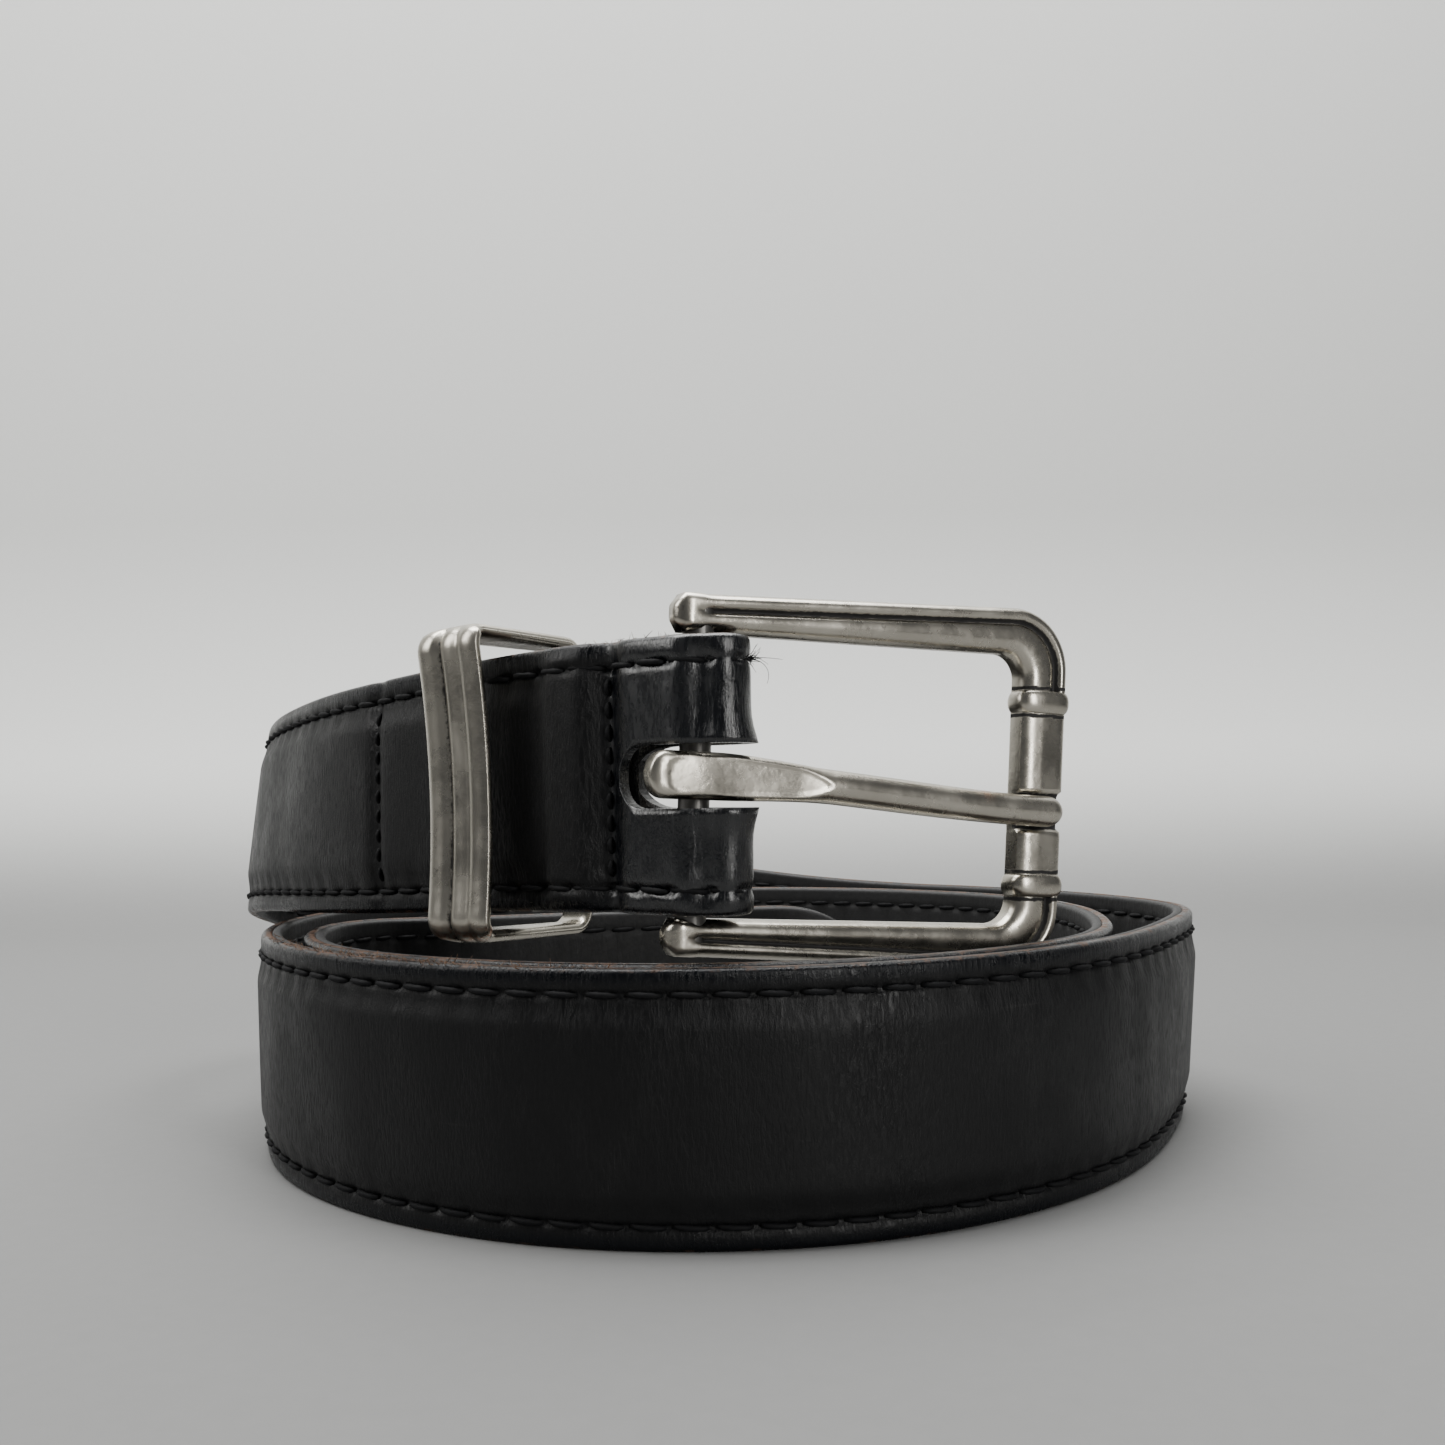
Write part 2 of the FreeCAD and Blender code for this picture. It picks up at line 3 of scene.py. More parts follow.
import bmesh
import bpy
import numpy as np
from mathutils import Matrix, Vector, kdtree


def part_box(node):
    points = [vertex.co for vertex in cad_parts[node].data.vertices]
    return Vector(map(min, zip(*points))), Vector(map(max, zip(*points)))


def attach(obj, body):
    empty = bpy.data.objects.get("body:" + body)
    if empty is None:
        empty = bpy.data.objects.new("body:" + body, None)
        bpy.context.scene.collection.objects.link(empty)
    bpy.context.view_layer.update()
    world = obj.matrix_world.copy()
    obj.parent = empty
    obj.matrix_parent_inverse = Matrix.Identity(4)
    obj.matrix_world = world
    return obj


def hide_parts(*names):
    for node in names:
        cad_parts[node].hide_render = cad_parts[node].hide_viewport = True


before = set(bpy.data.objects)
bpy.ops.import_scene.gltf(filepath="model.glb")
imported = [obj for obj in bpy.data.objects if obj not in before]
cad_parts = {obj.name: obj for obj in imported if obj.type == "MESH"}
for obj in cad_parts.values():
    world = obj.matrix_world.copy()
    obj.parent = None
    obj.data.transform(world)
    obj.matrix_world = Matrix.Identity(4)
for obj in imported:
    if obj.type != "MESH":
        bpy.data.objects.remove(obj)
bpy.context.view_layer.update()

# Lengths below are millimetres in the coil's own frame, its middle at x = y = 0.
# to_row() turns them into metres in the row frame.

# ---- strap, as in the CAD model ----
STRAP_WIDTH = 30.0
HALF = STRAP_WIDTH / 2
OUTER_PLY = 1.5
CROWN = 0.6
LINING_PLY = 1.3
PLY_GAP = 0.03
FOLD_REACH = 7.6
FOLD_HALF_DEPTH = 5.4
TAB_LENGTH = 54.0
TAB_SETTLE = 13.0
LINING_START = 10.0
FILLER_START = 15.0
FILLER_END = 22.0
SLOT_HEIGHT = 6.9
SLOT_REACH = 7.15
SLOT_BACK_REACH = 8.2
SLOT_CUT = 13.0
CROSS_STITCH_AT = (9.2, 49.5)
TIP_LENGTH = 17.0
TIP_END_WIDTH = 5.0
HOLE_RADIUS = 2.0
HOLE_COUNT = 5
HOLE_PITCH = 25.0
FIRST_HOLE = 92.0
STITCH_INSET = 2.75

# ---- buckle and keeper, as in the CAD model ----
BAR_RADIUS = 1.75
LEG_GAP = 31.0
LEG_HEIGHT = 4.1
LEG_FLARE = 2.6
LEG_SPREAD = 0.8
FRAME_DEPTH = 3.8
FRAME_REACH = 48.6
FRONT_BAR_WIDTH = 6.4
LEG_TIP = 3.2
OUTER_CORNER = 7.5
INNER_CORNER = 3.0
COLLAR_OFFSET = 11.1
COLLAR_MIDDLE = -0.4
COLLAR_LENGTH = 3.0
NOTCH_DEPTH = 0.9
NOTCH_WIDTH = 5.0
FRAME_TURN = 24.5
FRAME_TILT = 2.8
EYE_RADIUS = 4.2
PRONG_HEIGHT = 4.9
PRONG_THICKNESS = 3.4
PRONG_SHANK_RADIUS = 1.95
PRONG_HEEL = 6.65
PRONG_REACH = 47.0
PRONG_DROOP = 2.5
KEEPER_AT = 27.0
KEEPER_HEIGHT = 37.2
KEEPER_DEPTH = 21.5
KEEPER_WALL = 1.8
KEEPER_FRONT_WIDTH = 10.0
KEEPER_REAR_WIDTH = 4.6
KEEPER_STANDOFF = 6.0

# ---- visible detail ----
STITCH_PITCH = 4.6
CROSS_PITCH = 2.5
THREAD_RADIUS = 0.34
SECTION_STEP = 0.9
FIBRE_STATION = 23
LEG_TIP_LENGTH = 0.9
PLAIN_TIP = 3.3
WORN_AT = 35.5
GROOVE_DEPTH = 0.28
PIT_DEPTH = 0.5

# The strap's route: x, y of the lower outer edge, its height, and inward lean in degrees.
ROUTE = (
    (-9.0, -65.9, 34.9, 0.0), (-20.5, -57.3, 34.8, 0.5), (-33.5, -46.9, 34.2, 1.5),
    (-45.2, -37.0, 33.4, 3.0), (-56.8, -25.3, 32.6, 4.5), (-68.0, -9.8, 31.8, 6.5),
    (-77.8, 7.0, 30.6, 8.5), (-83.3, 24.5, 28.2, 8.5), (-81.0, 43.5, 24.0, 7.0),
    (-68.0, 60.5, 18.4, 5.0), (-47.0, 70.5, 12.3, 3.0), (-25.0, 75.0, 7.0, 1.0),
    (-3.0, 74.0, 3.2, 0.0), (18.0, 68.0, 0.9, 0.0), (37.0, 57.0, 0.0, 0.0),
    (53.0, 40.0, 0.0, 0.0), (63.5, 20.0, 0.0, -1.5), (66.8, -1.0, 0.0, -2.5),
    (60.2, -21.9, 0.0, -1.5), (49.6, -41.6, 0.0, 0.0), (33.8, -58.6, 0.0, 0.0),
    (12.3, -69.8, 0.0, 0.0), (-12.6, -71.7, 0.0, 0.0), (-36.5, -63.2, 0.0, 0.0),
    (-55.2, -46.3, 0.0, 0.0), (-66.4, -24.2, 0.0, 0.0), (-69.2, 0.0, 0.0, 0.0),
    (-62.5, 22.7, 0.0, 0.0), (-48.3, 40.5, 0.0, 0.0), (-29.8, 51.5, 0.0, 0.0),
    (-9.9, 56.1, 0.0, 0.0), (9.6, 54.2, 0.0, 0.0), (26.8, 46.3, 0.0, 0.0),
    (40.6, 34.1, 0.0, 0.0), (49.8, 18.1, 0.0, 0.0), (53.2, 0.0, 0.0, 0.0),
    (51.6, -19.2, 0.0, 0.0), (45.9, -38.5, 0.0, 0.0), (31.9, -55.3, 0.0, 0.0),
    (11.6, -66.0, 0.0, 0.0), (-12.0, -67.9, 0.0, 0.0), (-34.5, -59.8, 0.0, 0.0),
    (-51.6, -44.9, 0.0, 0.0), (-58.6, -31.0, 0.0, 0.0), (-61.0, -19.5, 0.0, 0.0),
    (-60.0, -9.5, 0.0, 0.0), (-54.5, -3.2, 0.0, 0.0), (-45.5, -1.8, 0.0, 0.0),
    (-34.0, 0.8, 0.0, 0.0), (-20.0, 4.6, 0.0, 0.0), (-6.0, 8.2, 0.0, 0.0),
    (8.0, 11.3, 0.0, 0.0), (20.0, 13.8, 0.0, 0.0),
)


# ---------------------------------------------------------------- route

def natural_spline(knots, values):
    """Second derivatives of the natural cubic spline through values at knots."""
    count = len(knots)
    matrix = np.zeros((count, count))
    rhs = np.zeros(count)
    matrix[0, 0] = matrix[-1, -1] = 1.0
    for i in range(1, count - 1):
        before = knots[i] - knots[i - 1]
        after = knots[i + 1] - knots[i]
        matrix[i, i - 1:i + 2] = before, 2 * (before + after), after
        rhs[i] = 6 * ((values[i + 1] - values[i]) / after - (values[i] - values[i - 1]) / before)
    return np.linalg.solve(matrix, rhs)


def unit(vectors):
    return vectors / np.linalg.norm(vectors, axis=-1, keepdims=True)


def smooth(x):
    x = np.clip(x, 0.0, 1.0)
    return x * x * (3 - 2 * x)


def bell(x, width):
    return np.exp(-(x / width) ** 2)


class Route:
    """The smooth line of the strap's lower outer edge, by distance from the bar."""

    def __init__(self, stations):
        self.table = np.array(stations)
        steps = np.linalg.norm(np.diff(self.table[:, :3], axis=0), axis=1)
        self.knots = np.concatenate([[0.0], np.cumsum(steps)])
        self.seconds = np.stack([natural_spline(self.knots, self.table[:, k]) for k in range(4)], 1)
        self.length = self.knots[-1]

    def value(self, s):
        s = np.asarray(s, float)
        i = np.clip(np.searchsorted(self.knots, s) - 1, 0, len(self.knots) - 2)
        h = self.knots[i + 1] - self.knots[i]
        a = ((self.knots[i + 1] - s) / h)[:, None]
        b = 1 - a
        bend = (a ** 3 - a) * self.seconds[i] + (b ** 3 - b) * self.seconds[i + 1]
        out = a * self.table[i] + b * self.table[i + 1] + bend * (h * h / 6)[:, None]
        out[:, 2] = np.maximum(out[:, 2], 0.0)
        return out

    def place(self, s):
        """Foot of each section, and its along, up and outward directions."""
        s = np.atleast_1d(np.asarray(s, float))
        here = self.value(s)
        step = 0.05
        high = self.value(np.minimum(s + step, self.length))
        low = self.value(np.maximum(s - step, 0.0))
        along = unit((high - low)[:, :3])
        out = unit(np.cross([0.0, 0.0, 1.0], along))
        up = np.cross(along, out)
        lean = np.radians(here[:, 3:4])
        leaning_up = up * np.cos(lean) - out * np.sin(lean)
        leaning_out = out * np.cos(lean) + up * np.sin(lean)
        return here[:, :3], along, leaning_up, leaning_out


route = Route(ROUTE)
bar_foot, bar_along, bar_up, bar_out = [part[0] for part in route.place(0.0)]
bar_centre = bar_foot - bar_out * FOLD_HALF_DEPTH + bar_up * HALF
bar_low, bar_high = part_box("heel_bar")
row_shift = np.array((bar_low + bar_high) / 2) - bar_centre * 0.001


def to_row(points):
    return np.asarray(points) * 0.001 + row_shift


# ---------------------------------------------------------------- meshes

def new_object(name, vertices, faces, attributes=(), shade_smooth=True):
    """Mesh object from millimetre points in the coil's frame, with point attributes."""
    mesh = bpy.data.meshes.new(name)
    mesh.from_pydata(to_row(vertices).tolist(), [], faces)
    for key, values in attributes:
        values = np.asarray(values, np.float32)
        kind = "FLOAT" if values.ndim == 1 else "FLOAT_VECTOR"
        layer = mesh.attributes.new(key, kind, "POINT")
        layer.data.foreach_set("value" if kind == "FLOAT" else "vector", values.ravel())
    mesh.validate()
    if shade_smooth:
        mesh.shade_smooth()
    piece = bpy.data.objects.new(name, mesh)
    bpy.context.scene.collection.objects.link(piece)
    return piece


def grid_faces(rows, columns, closed_rows=False, closed_columns=True, start=0):
    """Quads between successive rings of points."""
    faces = []
    for i in range(rows if closed_rows else rows - 1):
        a = start + i * columns
        b = start + ((i + 1) % rows) * columns
        for j in range(columns if closed_columns else columns - 1):
            k = (j + 1) % columns
            faces.append((a + j, a + k, b + k, b + j))
    return faces


def tube(rings, closed_path=False):
    """Vertices and faces of a tube through rings, its open ends closed by fans."""
    rings = np.asarray(rings)
    rows, columns = rings.shape[:2]
    vertices = rings.reshape(-1, 3)
    faces = grid_faces(rows, columns, closed_rows=closed_path)
    if not closed_path:
        middles = np.stack([rings[0].mean(0), rings[-1].mean(0)])
        first = len(vertices)
        vertices = np.concatenate([vertices, middles])
        last_row = (rows - 1) * columns
        for j in range(columns):
            k = (j + 1) % columns
            faces.append((k, j, first))
            faces.append((last_row + j, last_row + k, first + 1))
    return vertices, faces


def tube_values(rings_values, closed_path=False):
    """Values per vertex of a tube, in the order that tube() makes them."""
    values = np.asarray(rings_values)
    flat = values.reshape((-1,) + values.shape[2:])
    if closed_path:
        return flat
    return np.concatenate([flat, np.stack([values[0].mean(0), values[-1].mean(0)])])


def face_outward(piece):
    mesh = bmesh.new()
    mesh.from_mesh(piece.data)
    bmesh.ops.recalc_face_normals(mesh, faces=mesh.faces)
    mesh.to_mesh(piece.data)
    mesh.free()


def ripple(s, w, seed):
    """A gentle repeatable unevenness, about -1 to 1."""
    total = np.zeros(np.broadcast(s, w).shape)
    rng = np.random.default_rng(seed)
    for wavelength in (41.0, 27.0, 17.0, 11.0):
        turn = rng.uniform(-0.5, 0.5)
        phase = rng.uniform(0, 2 * math.pi)
        total = total + np.sin(2 * math.pi * (s * math.cos(turn) + w * math.sin(turn)) / wavelength + phase)
    return total / 4


# ---------------------------------------------------------------- strap

def crown_at(s):
    near = smooth((s - FILLER_START) / 8)
    far = smooth((route.length - FILLER_END - s) / 8)
    return CROWN * near * far


def width_at(s):
    x = np.clip(1 - (route.length - s) / TIP_LENGTH, 0, 1)
    least = TIP_END_WIDTH / 2
    return least + (HALF - least) * np.sqrt(np.maximum(1 - x ** 2.6, 0))


def main_places(start):
    """Section distances from start to the tip, closer together where the tip narrows."""
    bend = route.length - TIP_LENGTH
    count = int((bend - start) / SECTION_STEP)
    turn = np.linspace(0, math.pi / 2, 26)[1:]
    return np.concatenate([np.linspace(start, bend, count), bend + (TIP_LENGTH - 0.02) * np.sin(turn)])


def front_frames(s):
    foot, along, up, out = route.place(s)
    return foot + up * HALF, along, up, out


def tab_frames(s):
    foot, along, up, out = route.place(s)
    settled = 2 * CROWN + 2 * OUTER_PLY + LINING_PLY + 3 * PLY_GAP
    share = smooth(s / TAB_SETTLE)[:, None]
    depth = 2 * FOLD_HALF_DEPTH * (1 - share) + settled * share
    return foot + up * HALF - out * depth, -along, up, -out


def fold_frames(turn):
    turn = np.asarray(turn)[:, None]
    point = (bar_centre + bar_out * FOLD_HALF_DEPTH * np.cos(turn)
             - bar_along * FOLD_REACH * np.sin(turn))
    out = unit(bar_out * FOLD_REACH * np.cos(turn) - bar_along * FOLD_HALF_DEPTH * np.sin(turn))
    up = np.broadcast_to(bar_up, out.shape)
    return point, np.cross(out, up), up, out


def face_frames(s):
    """Section frames on the strap's face, or round the fold where s is negative."""
    s = np.asarray(s, float)
    parts = zip(front_frames(np.maximum(s, 0.0)), fold_frames(fold_turn(s)))
    return [np.where((s < 0)[:, None], fold, front) for front, fold in parts]


def face_stations():
    """Fractions of the half width across the face, close together round the stitches."""
    stitch = 1 - STITCH_INSET / HALF
    near = np.array([-0.075, -0.05, -0.03, -0.012, 0.0, 0.012, 0.03, 0.05, 0.075]) + stitch
    middle = np.linspace(0, 0.56, 9)[1:]
    rise = np.array([0.6, 0.64, 0.68, 0.72])
    edge = np.array([0.915, 0.94, 0.96])
    half = np.concatenate([middle, rise, near, edge])
    return np.concatenate([-half[::-1], [0.0], half])


def stitch_relief(s, w, half):
    """Sunk stitch line with a pit at each needle hole and puckers between."""
    across = np.abs(w) - half * (1 - STITCH_INSET / HALF)
    along = (s / STITCH_PITCH + 0.5) % 1.0 - 0.5
    pit = bell(along * STITCH_PITCH, 0.62) * bell(across, 0.45)
    groove = bell(across, 0.55) * (0.75 + 0.25 * np.cos(2 * math.pi * along))
    pucker = 0.09 * bell(across + 1.6, 1.1) * np.cos(2 * math.pi * along)
    return -GROOVE_DEPTH * groove - PIT_DEPTH * pit - pucker


def cross_relief(s, w):
    """Sunk line of each row of stitches across the strap."""
    depth = np.zeros(np.broadcast(s, w).shape)
    inside = smooth((HALF - STITCH_INSET + 0.3 - np.abs(w)) / 0.8)
    for place in CROSS_STITCH_AT:
        pits = bell(((w / CROSS_PITCH + 0.5) % 1.0 - 0.5) * CROSS_PITCH, 0.5) * bell(s - place, 0.5)
        depth = depth + inside * (0.3 * bell(s - place, 0.75) + 0.35 * pits)
    return -depth


def fold_turn(s):
    """Angle round the fold at a distance before the bar, 0 at the strap's face."""
    return -s * 2 / (FOLD_REACH + FOLD_HALF_DEPTH)


def soft_relief(s, w):
    """How the face rises and sinks by the buckle: a pillow, a sewn valley and a creased roll."""
    valley = -1.25 * bell(s - CROSS_STITCH_AT[0] + 0.4, 1.9)
    pillow = 0.75 * smooth((s - 9.5) / 3.0) * smooth((18.5 - s) / 2.6)
    turn = fold_turn(s)
    roll = 0.35 * bell(turn - 0.15, 0.3) - 0.6 * bell(turn - 0.6, 0.2) + 0.3 * bell(turn - 1.1, 0.35)
    edge = smooth((HALF - np.abs(w)) / 2.2)
    beside_slot = np.clip(1 - (np.abs(w) - SLOT_HEIGHT / 2) / 4.0, 0, 1)
    lip = 0.9 * beside_slot ** 2 * np.sin(np.clip(turn, 0, math.pi))
    tab_row = -0.5 * bell(s - CROSS_STITCH_AT[1], 1.3)
    return valley + (pillow + roll) * (0.45 + 0.55 * edge) + lip + tab_row


def outer_section(s, half, crown, on_face):
    """Points (outward, up) of the outer ply at one section."""
    w = face_stations() * half
    rise = smooth((0.76 - np.abs(w) / half) / 0.2)
    o = -CROWN + crown * rise
    o = o - 0.10 * smooth((np.abs(w) / half - 0.9) / 0.1)
    o = o + stitch_relief(s, w, half) * on_face + cross_relief(s, w) * on_face
    o = o + 0.10 * ripple(s, w, 3) * smooth((0.8 - np.abs(w) / half) / 0.3)
    corner = np.radians(np.array([18, 40, 62, 84]))
    radius = 0.04 * half
    depth = 0.75
    upper_w = half - radius + radius * np.sin(corner)
    upper_o = -CROWN - 0.10 - depth + depth * np.cos(corner)
    wall_o = np.array([-CROWN - OUTER_PLY + 0.35, -CROWN - OUTER_PLY + 0.12, -CROWN - OUTER_PLY])
    wall_w = np.array([half, half - 0.03, half - 0.16])
    back_w = np.array([0.74, 0.56, 0.0, -0.56, -0.74]) * half
    back_o = np.array([0, crown, crown, crown, 0]) - CROWN - OUTER_PLY
    return (np.concatenate([o, upper_o, wall_o, back_o, wall_o[::-1], upper_o[::-1]]),
            np.concatenate([w, upper_w, wall_w, back_w, -wall_w[::-1], -upper_w[::-1]]))


def make_outer_strap():
    tab = np.arange(TAB_LENGTH, 2.0, -SECTION_STEP)
    turns = np.linspace(math.pi, 0, 34)
    main = main_places(2.0)
    parts = [tab_frames(tab), fold_frames(turns), front_frames(main)]
    centre, along, up, out = [np.concatenate([p[k] for p in parts]) for k in range(4)]
    fold_s = -turns * (FOLD_REACH + FOLD_HALF_DEPTH) / 2
    distance = np.concatenate([-30.0 - tab, fold_s, main])
    half = np.concatenate([np.full(len(tab) + len(turns), HALF), width_at(main)])
    crown = np.concatenate([np.zeros(len(tab) + len(turns)), crown_at(main)])
    rings = []
    coords = []
    for i in range(len(centre)):
        o, w = outer_section(distance[i], half[i], crown[i], 1.0)
        lift = soft_relief(distance[i], w)
        ring = centre[i] + out[i] * (o + lift)[:, None] + up[i] * w[:, None]
        rings.append(ring)
        coords.append(np.stack([np.full(len(w), distance[i]), w, o], 1))
    vertices, faces = tube(rings)
    unrolled = tube_values(coords)
    piece = new_object("outer_leather", vertices, faces, [("strap_mm", unrolled)])
    face_outward(piece)
    cut(piece, slot_cutters() + hole_cutters())
    return piece


def lining_section(s, half):
    front = -OUTER_PLY - CROWN - 2 * PLY_GAP
    back = front - LINING_PLY
    w = face_stations()[::-1] * (half - 0.12)
    o = back - 0.5 * stitch_relief(s, w, half - 0.12)
    corner = np.radians(np.array([6, 28, 50, 72]))
    edge = half - 0.12
    round_w = edge - 0.5 + 0.5 * np.cos(corner)
    round_o = back + 0.5 - 0.5 * np.sin(corner)
    return (np.concatenate([o, round_o[::-1], [front, front], round_o]),
            np.concatenate([w, -round_w[::-1], [-edge, edge], round_w]))


def make_lining():
    places = main_places(LINING_START)
    centre, along, up, out = front_frames(places)
    half = width_at(places)
    rings = []
    coords = []
    for i, s in enumerate(places):
        o, w = lining_section(s, half[i])
        rings.append(centre[i] + out[i] * o[:, None] + up[i] * w[:, None])
        coords.append(np.stack([np.full(len(w), s), w, o], 1))
    vertices, faces = tube(rings)
    piece = new_object("lining_leather", vertices, faces, [("strap_mm", tube_values(coords))])
    face_outward(piece)
    cut(piece, hole_cutters())
    return piece


# ---------------------------------------------------------------- cuts

def solid_cutter(name, outline, depth, origin, x_axis, y_axis, z_axis):
    """Prism on a closed outline, centred on origin along z_axis."""
    count = len(outline)
    points = []
    for z in (-depth / 2, depth / 2):
        for x, y in outline:
            points.append(origin + x_axis * x + y_axis * y + z_axis * z)
    faces = [tuple(range(count))[::-1], tuple(range(count, 2 * count))]
    for j in range(count):
        k = (j + 1) % count
        faces.append((j, k, count + k, count + j))
    piece = new_object(name, np.array(points), faces, shade_smooth=False)
    face_outward(piece)
    return piece


def slot_cutters():
    """The prong's slot, through both sides of the fold and further along behind."""
    end = SLOT_HEIGHT / 2
    turn = np.linspace(math.pi / 2, 3 * math.pi / 2, 17)
    cutters = []
    through = (SLOT_REACH, 2 * SLOT_CUT, bar_centre)
    behind = (SLOT_BACK_REACH, SLOT_CUT, bar_centre - bar_out * SLOT_CUT / 2)
    for reach, depth, middle in (through, behind):
        outline = [(end - reach + end * math.cos(t), end * math.sin(t)) for t in turn]
        outline += [(FOLD_REACH + 4, -end), (FOLD_REACH + 4, end)]
        cutters.append(solid_cutter("slot_cutter", outline, depth, middle, -bar_along, bar_up, bar_out))
    return cutters


def hole_cutters():
    turn = np.linspace(0, 2 * math.pi, 25)[:-1]
    outline = [(HOLE_RADIUS * math.cos(t), HOLE_RADIUS * math.sin(t)) for t in turn]
    cutters = []
    for k in range(HOLE_COUNT):
        centre, along, up, out = [p[0] for p in front_frames([route.length - FIRST_HOLE - k * HOLE_PITCH])]
        middle = centre - out * 2.9
        cutters.append(solid_cutter("hole_cutter", outline, 6.0, middle, along, up, out))
    return cutters


def cut(piece, cutters):
    """Subtracts the cutters, and carries the unrolled strap coordinates on to new points."""
    mesh = piece.data
    count = len(mesh.vertices)
    before = np.zeros(count * 3)
    mesh.vertices.foreach_get("co", before)
    coords = np.zeros(count * 3, np.float32)
    mesh.attributes["strap_mm"].data.foreach_get("vector", coords)
    coords = coords.reshape(-1, 3)
    tree = kdtree.KDTree(count)
    for i, point in enumerate(before.reshape(-1, 3)):
        tree.insert(point, i)
    tree.balance()
    bpy.context.view_layer.objects.active = piece
    for cutter in cutters:
        modifier = piece.modifiers.new("cut", "BOOLEAN")
        modifier.operation = "DIFFERENCE"
        modifier.solver = "EXACT"
        modifier.object = cutter
        bpy.ops.object.modifier_apply(modifier=modifier.name)
        bpy.data.objects.remove(cutter)
    mesh = piece.data
    if "strap_mm" in mesh.attributes:
        mesh.attributes.remove(mesh.attributes["strap_mm"])
    found = np.array([coords[tree.find(v.co)[1]] for v in mesh.vertices], np.float32)
    layer = mesh.attributes.new("strap_mm", "FLOAT_VECTOR", "POINT")
    layer.data.foreach_set("vector", found.ravel())


# ---------------------------------------------------------------- thread

def thread_stitch(start, end, lift, side):
    """Rings of one twisted stitch from hole to hole, arching over the leather."""
    steps = 9
    sides = 9
    t = np.linspace(0, 1, steps)
    arch = np.sin(math.pi * t) ** 0.5
    run = end - start
    line = start + run * t[:, None] + lift * (arch * 0.62 - 0.42)[:, None]
    along = unit(run[None, :])
    high = unit(lift[None, :])
    across = np.cross(along, high)
    angle = np.linspace(0, 2 * math.pi, sides, endpoint=False)
    twist = t * 2 * math.pi * 1.1 * side
    radius = THREAD_RADIUS * (1 + 0.14 * np.cos(3 * (angle[None, :] - twist[:, None])))
    radius = radius * (0.62 + 0.38 * arch)[:, None]
    return (line[:, None, :] + across * (radius * np.cos(angle))[..., None]
            + high * (radius * np.sin(angle))[..., None])


def thread_object(name, stitches):
    vertices = []
    faces = []
    count = 0
    for rings in stitches:
        points, quads = tube(rings)
        vertices.append(points)
        faces += [tuple(i + count for i in quad) for quad in quads]
        count += len(points)
    piece = new_object(name, np.concatenate(vertices), faces)
    face_outward(piece)
    return piece


def edge_stitches(side):
    """Stitches of one edge row, on the face and on the lining."""
    stitches = []
    last = int((route.length - 4.0) / STITCH_PITCH)
    back = -OUTER_PLY - CROWN - 2 * PLY_GAP - LINING_PLY
    for k in range(-2, last):
        s = np.array([k * STITCH_PITCH + 0.35, (k + 1) * STITCH_PITCH - 0.35])
        centre, along, up, out = face_frames(s)
        w = side * width_at(s) * (1 - STITCH_INSET / HALF) + np.array([-0.1, 0.1])
        o = -CROWN - 0.12 + soft_relief(s, w)
        points = centre + out * o[:, None] + up * w[:, None]
        stitches.append(thread_stitch(points[0], points[1], out[0], 1))
        if s[0] > TAB_LENGTH + 2:
            points = centre + out * (back + 0.12) + up * w[:, None]
            stitches.append(thread_stitch(points[0], points[1], -out[0], 1))
    return stitches


def cross_stitches(place):
    """Stitches of one row across the strap's face."""
    stitches = []
    centre, along, up, out = [p[0] for p in front_frames([place])]
    reach = HALF - STITCH_INSET
    crown = float(crown_at(np.array([place]))[0])
    count = int(2 * reach / CROSS_PITCH)
    for k in range(count):
        w = np.array([k, k + 1]) * CROSS_PITCH - count * CROSS_PITCH / 2
        w = w + np.array([0.2, -0.2])
        rise = smooth((0.76 - np.abs(w) / HALF) / 0.2)
        o = -CROWN + crown * rise - 0.2 + soft_relief(place, w)
        points = centre + out * o[:, None] + up * w[:, None]
        stitches.append(thread_stitch(points[0], points[1], out, 1))
    return stitches


def fibre(points, radius):
    """Rings of a fine fibre along its points, thinning to its end."""
    points = np.asarray(points)
    along = unit(np.gradient(points, axis=0))
    side = unit(np.cross(along, [0.31, 0.17, 0.93]))
    other = np.cross(along, side)
    angle = np.linspace(0, 2 * math.pi, 5, endpoint=False)
    thin = radius * np.linspace(1.0, 0.35, len(points))
    return (points[:, None, :] + (thin[:, None] * np.cos(angle))[..., None] * side[:, None, :]
            + (thin[:, None] * np.sin(angle))[..., None] * other[:, None, :])


def frayed_end():
    """The loose tuft where the upper row of stitches ends on the fold."""
    rng = np.random.default_rng(11)
    centre, along, up, out = [p[0] for p in face_frames([-2.2 * STITCH_PITCH])]
    root = centre + up * (HALF - STITCH_INSET) + out * (0.3 - CROWN)
    strands = []
    t = np.linspace(0, 1, 9)[:, None]
    for _ in range(26):
        length = rng.uniform(0.9, 2.6)
        reach = unit(out * rng.uniform(0.4, 1.2) - along * rng.uniform(-0.5, 1.0)
                     + up * rng.uniform(-0.9, 0.9))
        bend = rng.normal(0, 0.55, 3)
        start = root + rng.normal(0, 0.16, 3)
        strands.append(fibre(start + reach * length * t + bend * t * t * length * 0.8, 0.05))
    curl = np.linspace(0, 1, 22)[:, None]
    swing = 1.1 * np.sin(curl * 4.2) * out + (1.3 * np.cos(curl * 3.4) - 1.3) * up
    strands.append(fibre(root + out * 2.6 * curl + swing - along * 1.4 * curl, 0.045))
    return thread_object("frayed_thread", strands)


